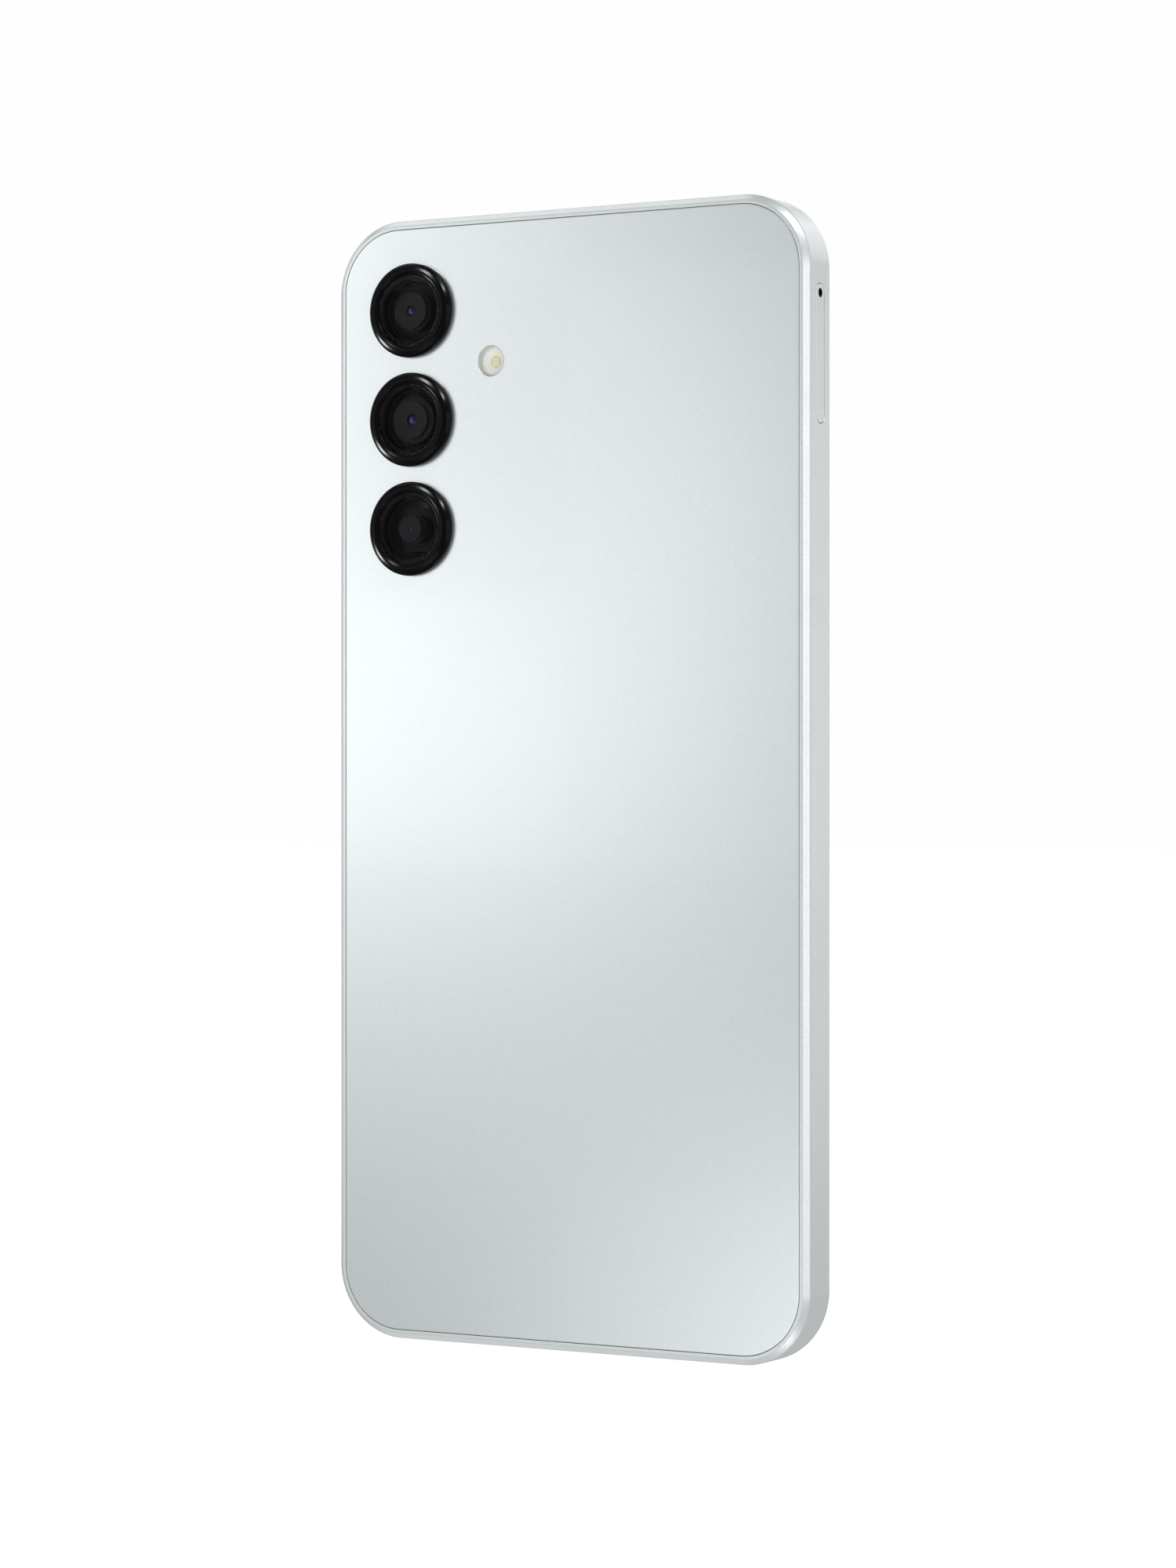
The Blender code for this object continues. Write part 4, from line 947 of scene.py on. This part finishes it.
# %% [markdown]
# A Geometry Nodes tree needs inputs for its sizes, a chain of nodes and an output. The first helper
# makes the tree with its inputs, the second ends it by laying its geometry on each host point, and
# the third runs it on a few points and keeps the plain mesh.


# %% Helpers for Geometry Nodes
def new_tree(name, inputs):
    """An empty geometry tree with named inputs, and its input sockets."""
    tree = bpy.data.node_groups.new(name, "GeometryNodeTree")
    kinds = {"Geometry": "Geometry", **inputs, "Material": "Material"}
    for label, kind in kinds.items():
        tree.interface.new_socket(label, in_out="INPUT", socket_type=f"NodeSocket{kind}")
    tree.interface.new_socket("Geometry", in_out="OUTPUT", socket_type="NodeSocketGeometry")
    return tree, add_node(tree, "NodeGroupInput").outputs


def close_tree(tree, given, geometry):
    """Lays the geometry on each host point, and ends in Realize Instances and Set Material."""
    inputs = {"Points": given["Geometry"], "Instance": geometry}
    laid = add_node(tree, "GeometryNodeInstanceOnPoints", inputs=inputs)
    inputs = {"Geometry": laid.outputs["Instances"]}
    real = add_node(tree, "GeometryNodeRealizeInstances", inputs=inputs)
    inputs = {"Geometry": real.outputs["Geometry"], "Material": given["Material"]}
    dressed = add_node(tree, "GeometryNodeSetMaterial", inputs=inputs)
    add_node(tree, "NodeGroupOutput", inputs={"Geometry": dressed.outputs["Geometry"]})


def grow(name, tree, points, values, material):
    """Runs a tree on host points given in millimetres and keeps the result as a plain mesh."""
    mesh = bpy.data.meshes.new(name)
    mesh.from_pydata([metres(*point) for point in points], [], [])
    piece = link(name, mesh)
    modifier = piece.modifiers.new(name, "NODES")
    modifier.node_group = tree
    items = tree.interface.items_tree
    sockets = {item.name: item.identifier for item in items if item.in_out == "INPUT"}
    for label, value in {**values, "Material": material}.items():
        modifier[sockets[label]] = value
    settle(piece)
    return dress(piece, [material])


# %% Connector contacts
tree, given = new_tree(
    "contact_rows", {"Count": "Int", "Pitch": "Float", "Size": "Vector", "Rows": "Float"}
)
contact = add_node(tree, "GeometryNodeMeshCube", inputs={"Size": given["Size"]}).outputs["Mesh"]
for axis, count, spacing in (("X", given["Count"], given["Pitch"]), ("Y", 2, given["Rows"])):
    offset = add_node(tree, "ShaderNodeCombineXYZ", inputs={axis: spacing}).outputs["Vector"]
    inputs = {"Count": count, "Offset": offset}
    line = add_node(tree, "GeometryNodeMeshLine", {"mode": "OFFSET"}, inputs)
    inputs = {"Points": line.outputs["Mesh"], "Instance": contact}
    contact = add_node(tree, "GeometryNodeInstanceOnPoints", inputs=inputs).outputs["Instances"]
close_tree(tree, given, contact)

size = (0.25 * MM, 0.04 * MM, 3.6 * MM)
values = {"Count": 12, "Pitch": 0.5 * MM, "Size": size, "Rows": 0.70 * MM}
first_contact = (-2.75, depth - 0.35, 3.6)
contacts = grow("connector_contacts", tree, [first_contact], values, gold_plate)
place(contacts, "phone_body", "steel")

# %% [markdown]
# ## Woven grilles
#
# The loudspeaker and the earpiece are closed by woven wire cloth. In a plain weave every wire passes
# over one and under the next, so its height is a cosine along the wire, and it changes sign from one
# wire to the next. One tree weaves both cloths: it lays two sets of wires and lifts their points.
# Its arithmetic is written as nested terms, which one helper turns to nodes.

# %% Wires of the cloth
sizes = {name: "Float" for name in ("Length", "Width", "Pitch", "Wire")}
tree, given = new_tree("woven_cloth", {**sizes, "Turn": "Vector"})
pitch = given["Pitch"]


def formula(term):
    """A nested (operation, value, ...) term as arithmetic nodes in the cloth's tree."""
    if not isinstance(term, tuple):
        return term
    operation, *parts = term
    inputs = dict(enumerate(formula(part) for part in parts))
    return add_node(tree, "ShaderNodeMath", {"operation": operation}, inputs).outputs[0]


def along_axis(axis, term):
    """A vector along one axis of the cloth, with a term as its length."""
    return add_node(tree, "ShaderNodeCombineXYZ", inputs={axis: formula(term)}).outputs["Vector"]


def wires(along, across, axis, lift):
    """Parallel wires along an axis of the cloth, woven by lifting each point."""
    other = "Y" if axis == "X" else "X"
    inputs = {
        "Start": along_axis(axis, ("MULTIPLY", along, -0.5)),
        "End": along_axis(axis, ("MULTIPLY", along, 0.5)),
    }
    wire = add_node(tree, "GeometryNodeCurvePrimitiveLine", inputs=inputs).outputs["Curve"]
    count = formula(("FLOOR", ("DIVIDE", across, pitch)))
    inputs = {
        "Count": formula(("ADD", count, 1.0)),
        "Start Location": along_axis(other, ("MULTIPLY", ("MULTIPLY", count, pitch), -0.5)),
        "Offset": along_axis(other, pitch),
    }
    rows = add_node(tree, "GeometryNodeMeshLine", {"mode": "OFFSET"}, inputs).outputs["Mesh"]
    inputs = {"Points": rows, "Instance": wire}
    laid = add_node(tree, "GeometryNodeInstanceOnPoints", inputs=inputs).outputs["Instances"]
    real = add_node(tree, "GeometryNodeRealizeInstances", inputs={"Geometry": laid})
    inputs = {"Curve": real.outputs["Geometry"], "Length": formula(("MULTIPLY", pitch, 0.5))}
    fine = add_node(tree, "GeometryNodeResampleCurve", {"mode": "LENGTH"}, inputs).outputs["Curve"]
    spot = add_node(tree, "GeometryNodeInputPosition").outputs["Position"]
    at = add_node(tree, "ShaderNodeSeparateXYZ", inputs={"Vector": spot}).outputs
    waves = [("COSINE", ("MULTIPLY", ("DIVIDE", at[name], pitch), math.pi)) for name in "XY"]
    height = ("MULTIPLY", ("MULTIPLY", *waves), ("MULTIPLY", given["Wire"], lift))
    inputs = {"Geometry": fine, "Offset": along_axis("Z", height)}
    return add_node(tree, "GeometryNodeSetPosition", inputs=inputs).outputs["Geometry"]


# %% Cloth from the wires
length, width = given["Length"], given["Width"]
both = add_node(tree, "GeometryNodeJoinGeometry")
for sheet in (wires(length, width, "X", 1.0), wires(width, length, "Y", -1.0)):
    tree.links.new(sheet, both.inputs["Geometry"])
inputs = {"Resolution": 5, "Radius": given["Wire"]}
round_wire = add_node(tree, "GeometryNodeCurvePrimitiveCircle", inputs=inputs).outputs["Curve"]
inputs = {"Curve": both.outputs["Geometry"], "Profile Curve": round_wire, "Fill Caps": True}
tubes = add_node(tree, "GeometryNodeCurveToMesh", inputs=inputs).outputs["Mesh"]
inputs = {"Geometry": tubes, "Rotation": given["Turn"]}
turned = add_node(tree, "GeometryNodeTransform", inputs=inputs).outputs["Geometry"]
close_tree(tree, given, turned)

# %% [markdown]
# The loudspeaker's cloth lies flat over the slots in the bottom edge. The earpiece's is finer, and
# stands upright in the slit of the front glass.

# %% Loudspeaker and earpiece cloth
CLOTHS = {
    # node: piece, length, width, pitch and radius of the wires in mm, quarter turns about x
    "speaker_mesh": ("speaker_cloth", 16.2, 2.0, 0.2, 0.05, 0),
    "earpiece_mesh": ("earpiece_cloth", 10.4, 0.7, 0.14, 0.035, 1),
}
for node, (name, length, width, pitch, wire, quarters) in CLOTHS.items():
    values = {"Length": length * MM, "Width": width * MM, "Pitch": pitch * MM, "Wire": wire * MM}
    values["Turn"] = (quarters * math.pi / 2, 0.0, 0.0)
    cloth = grow(name, tree, [centre(node)], values, woven_wire)
    place(cloth, "phone_body", "dark_mesh", node)

# %% [markdown]
# ## Screws
#
# Seven small screws hold the two brackets. They are all alike, so the head with its cross recess and
# the shank are made once, in nodes, and placed on the seven points that the CAD screws give.

# %% One screw in nodes
SLOT_WIDTH = 0.22
sizes = {name: "Float" for name in ("Head", "Height", "Shank", "Length")}
tree, given = new_tree("bracket_screws", sizes)
height = given["Height"]
inputs = {"Vertices": 32, "Radius": given["Head"], "Depth": height}
head = add_node(tree, "GeometryNodeMeshCylinder", inputs=inputs).outputs["Mesh"]
cross = add_node(tree, "GeometryNodeMeshBoolean", {"operation": "DIFFERENCE"}, {"Mesh 1": head})
for turn_z in (0.0, math.pi / 2):
    inputs = {"X": given["Head"], "Y": SLOT_WIDTH * MM, "Z": height}
    size = add_node(tree, "ShaderNodeCombineXYZ", inputs=inputs).outputs["Vector"]
    bar = add_node(tree, "GeometryNodeMeshCube", inputs={"Size": size}).outputs["Mesh"]
    lift = add_node(tree, "ShaderNodeCombineXYZ", inputs={"Z": height}).outputs["Vector"]
    inputs = {"Geometry": bar, "Translation": lift, "Rotation": (0.0, 0.0, turn_z)}
    bar = add_node(tree, "GeometryNodeTransform", inputs=inputs).outputs["Geometry"]
    tree.links.new(bar, cross.inputs["Mesh 2"])
inputs = {"Vertices": 16, "Radius": given["Shank"], "Depth": given["Length"]}
shank = add_node(tree, "GeometryNodeMeshCylinder", inputs=inputs).outputs["Mesh"]
inputs = {0: given["Length"], 1: -0.5}
reach = add_node(tree, "ShaderNodeMath", {"operation": "MULTIPLY"}, inputs).outputs[0]
down = add_node(tree, "ShaderNodeCombineXYZ", inputs={"Z": reach}).outputs["Vector"]
inputs = {"Geometry": shank, "Translation": down}
shank = add_node(tree, "GeometryNodeTransform", inputs=inputs).outputs["Geometry"]
whole = add_node(tree, "GeometryNodeJoinGeometry")
for part in (cross.outputs["Mesh"], shank):
    tree.links.new(part, whole.inputs["Geometry"])
inputs = {"Geometry": whole.outputs["Geometry"], "Rotation": (math.pi / 2, 0.0, 0.0)}
upright = add_node(tree, "GeometryNodeTransform", inputs=inputs).outputs["Geometry"]
close_tree(tree, given, upright)

# %% Seven bracket screws
HEAD_HEIGHT = 0.38
screw_nodes = sorted(name for name in nodes if "_screw_" in name)
head_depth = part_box(screw_nodes[0])[0].y / MM - REAR + HEAD_HEIGHT / 2
points = [(centre(name)[0], head_depth, centre(name)[2]) for name in screw_nodes]
values = {"Head": 1.2 * MM, "Height": HEAD_HEIGHT * MM, "Shank": 0.55 * MM, "Length": 3.3 * MM}
screws = grow("bracket_screws", tree, points, values, rolled_steel)
place(screws, "phone_body", "steel", *screw_nodes)

# %% [markdown]
# ## Floor and camera
#
# The phone stands on a plain white table that runs out of sight. The table glows a little, so it
# reads as evenly white, and it can't be seen from below, which keeps the bottom edge in view from
# there. The camera is level with the phone's middle, 30 degrees round from its back towards the card
# tray, and about 0.6 m away.

# %% Floor
FLOOR_SIZE, FLOOR_DROP = 8.0, 0.0002  # metres: the drop keeps the table off the phone's lowest face
bpy.ops.mesh.primitive_plane_add(size=FLOOR_SIZE, location=(0, 0, -FLOOR_DROP))
floor = bpy.context.object
floor.name = "floor"
floor.visible_glossy = False
floor.visible_shadow = False
glow = {"Emission Color": linear("FFFFFF"), "Emission Strength": 0.95}
white_table = finish("matt_white_table", "6E6E6E", 0.9, glow, gloss=(grain(3.0), 0.85, 0.95))
tree = white_table.node_tree
below = add_node(tree, "ShaderNodeNewGeometry").outputs["Backfacing"]
table = tree.nodes["Principled BSDF"].outputs["BSDF"]
clear = add_node(tree, "ShaderNodeBsdfTransparent").outputs["BSDF"]
seen = add_node(tree, "ShaderNodeMixShader", inputs={0: below, 1: table, 2: clear})
tree.links.new(seen.outputs["Shader"], tree.nodes["Material Output"].inputs["Surface"])
floor.data.materials.append(white_table)
floor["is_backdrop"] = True

# %% Camera
half_way_up = HEIGHT / 2 * MM
camera_data = bpy.data.cameras.new("camera")
camera_data.sensor_width, camera_data.lens = 36.0, 95.73
camera_data.shift_x, camera_data.shift_y = 0.01443, -0.0027
camera_data.clip_start = 0.01
camera = link("camera", camera_data)
camera.location = (0.30017, -0.52159, half_way_up)
camera.rotation_euler = (math.pi / 2, 0.0, math.radians(30.076))
scene = bpy.context.scene
scene.camera = camera
print(f"camera {math.hypot(*camera.location.xy):.2f} m away")

# %% [markdown]
# ## Light
#
# A pale glossy phone shows what stands round it, so its light is a studio of soft panels. Behind it
# all is a grey room, which the camera sees as white. A wall of small panels faces the rear cover,
# and their powers shape the broad bright band on it. Columns of panels light the two long sides, and
# panels on stands light the rims and corners.

# %% Room
ROOM_GREY = (0.38, 0.38, 0.38, 1.0)
scene.view_settings.view_transform = "Standard"
world = bpy.data.worlds.new("studio")
world.use_nodes = True
scene.world = world
tree = world.node_tree
seen = add_node(tree, "ShaderNodeLightPath").outputs["Is Camera Ray"]
inputs = {"Factor": seen, 6: ROOM_GREY, 7: linear("FEFEFE")}
mixed = add_node(tree, "ShaderNodeMix", {"data_type": "RGBA"}, inputs)
tree.links.new(mixed.outputs[2], tree.nodes["Background"].inputs["Color"])

# %% Wall and columns of panels
middle = Vector((0.0, 0.0, half_way_up))


def panel(name, place, size, power, target=middle):
    """A soft light panel that faces the target and isn't seen by the camera."""
    light = bpy.data.lights.new(name, "AREA")
    light.shape, light.size, light.size_y, light.energy = "RECTANGLE", *size, power
    lamp = link(name, light)
    lamp.location = place
    lamp.rotation_euler = (Vector(place) - target).to_track_quat("Z", "Y").to_euler()
    lamp.visible_camera = False
    return lamp


WALL_Y = -0.40
WALL_COLUMNS = [(-0.40, 0.14), (-0.28, 0.10), (-0.195, 0.07), (-0.12, 0.08), (-0.02, 0.12)]
WALL_ROWS = {
    # z and height: power of the panel in each column
    (-0.08, 0.12): (0.0, 0.0, 0.019, 0.053, 0.074),
    (0.02, 0.08): (0.013, 0.009, 0.003, 0.0, 0.0),
    (0.095, 0.07): (0.053, 0.038, 0.015, 0.0, 0.0),
    (0.17, 0.08): (0.088, 0.0, 0.021, 0.0, 0.0),
    (0.265, 0.11): (0.131, 0.028, 0.003, 0.0, 0.0),
}
for row, ((z, tall), powers) in enumerate(WALL_ROWS.items()):
    for column, ((x, wide), power) in enumerate(zip(WALL_COLUMNS, powers)):
        if power:
            target = Vector((x, 0.0, z))
            panel(f"wall_{row}{column}", (x, WALL_Y, z), (wide, tall), power, target)
COLUMNS = {
    # name: x, y, panel size, then z and power of each panel
    "back": (0.24, 0.35, (0.16, 0.07), ((0.02, 0.015), (0.09, 0.024), (0.16, 0.020))),
    "right": (0.46, -0.27, (0.34, 0.12), ((-0.02, 0.192), (0.09, 0.163), (0.20, 0.250))),
}
for name, (x, y, size, levels) in COLUMNS.items():
    for i, (z, power) in enumerate(levels):
        panel(f"{name}_{i}", (x, y, z), size, power, Vector((0.0, 0.0, z)))

# %% Panels on stands
STANDS = {
    # name: azimuth from the rear's normal towards the keys' side, elevation, distance, size, power
    "far_right": (-105.0, 15.0, 0.6, 0.25, 0.068),
    "upper_right": (-80.0, 50.0, 0.6, 0.2, 0.404),
    "top_right": (-46.0, 60.0, 0.6, 0.2, 0.502),
    "top_left": (90.0, 60.0, 0.6, 0.3, 0.328),
    "corner_left": (112.0, 25.0, 0.6, 0.2, 0.089),
    "far_left": (120.0, 0.0, 0.6, 0.25, 0.067),
    "low_left": (90.0, -60.0, 0.6, 0.3, 0.079),
    "low_right": (-46.0, -60.0, 0.6, 0.2, 0.351),
    "back_top": (180.0, 32.0, 0.6, 0.2, 0.084),
    "front_left": (150.0, 30.0, 0.7, 0.35, 0.3),
    "front_right": (-160.0, 30.0, 0.7, 0.35, 0.3),
}
for name, (azimuth, elevation, distance, size, power) in STANDS.items():
    a, e = math.radians(azimuth), math.radians(elevation)
    away = Vector((-math.sin(a) * math.cos(e), -math.cos(a) * math.cos(e), math.sin(e)))
    panel(name, middle + away * distance, (size, size), power)

# %% [markdown]
# A black polished ring shows only strong lamps, which would wash out the pale cover. So three small
# panels are linked to the rings and the first lenses alone, and draw the thin glints on them.

# %% Glints on the camera rings
GLINT_DISTANCE, GLINT_SIZE = 0.5, (0.08, 0.08)
GLINTS = {
    # name: direction from the rings, power
    "ring_upper": ((-0.235, -0.760, 0.607), 1.6),
    "ring_lower": ((-0.861, -0.453, -0.232), 1.6),
    "ring_side": ((0.488, -0.590, 0.641), 1.5),
}
x, _, z = centre("lens_ring_main")
rings = Vector((x, 0.0, z)) * MM
lit = bpy.data.collections.new("camera_rings")
for lens in LENSES:
    for part in ("ring", "lens"):
        lit.objects.link(bpy.data.objects[f"camera_{part}_{lens}"])
for name, (direction, power) in GLINTS.items():
    glint = panel(name, rings + Vector(direction) * GLINT_DISTANCE, GLINT_SIZE, power, rings)
    glint.light_linking.receiver_collection = lit

size = {"cad": [list(v) for v in cad_box], "visual": [list(v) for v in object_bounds()]}
print(size)
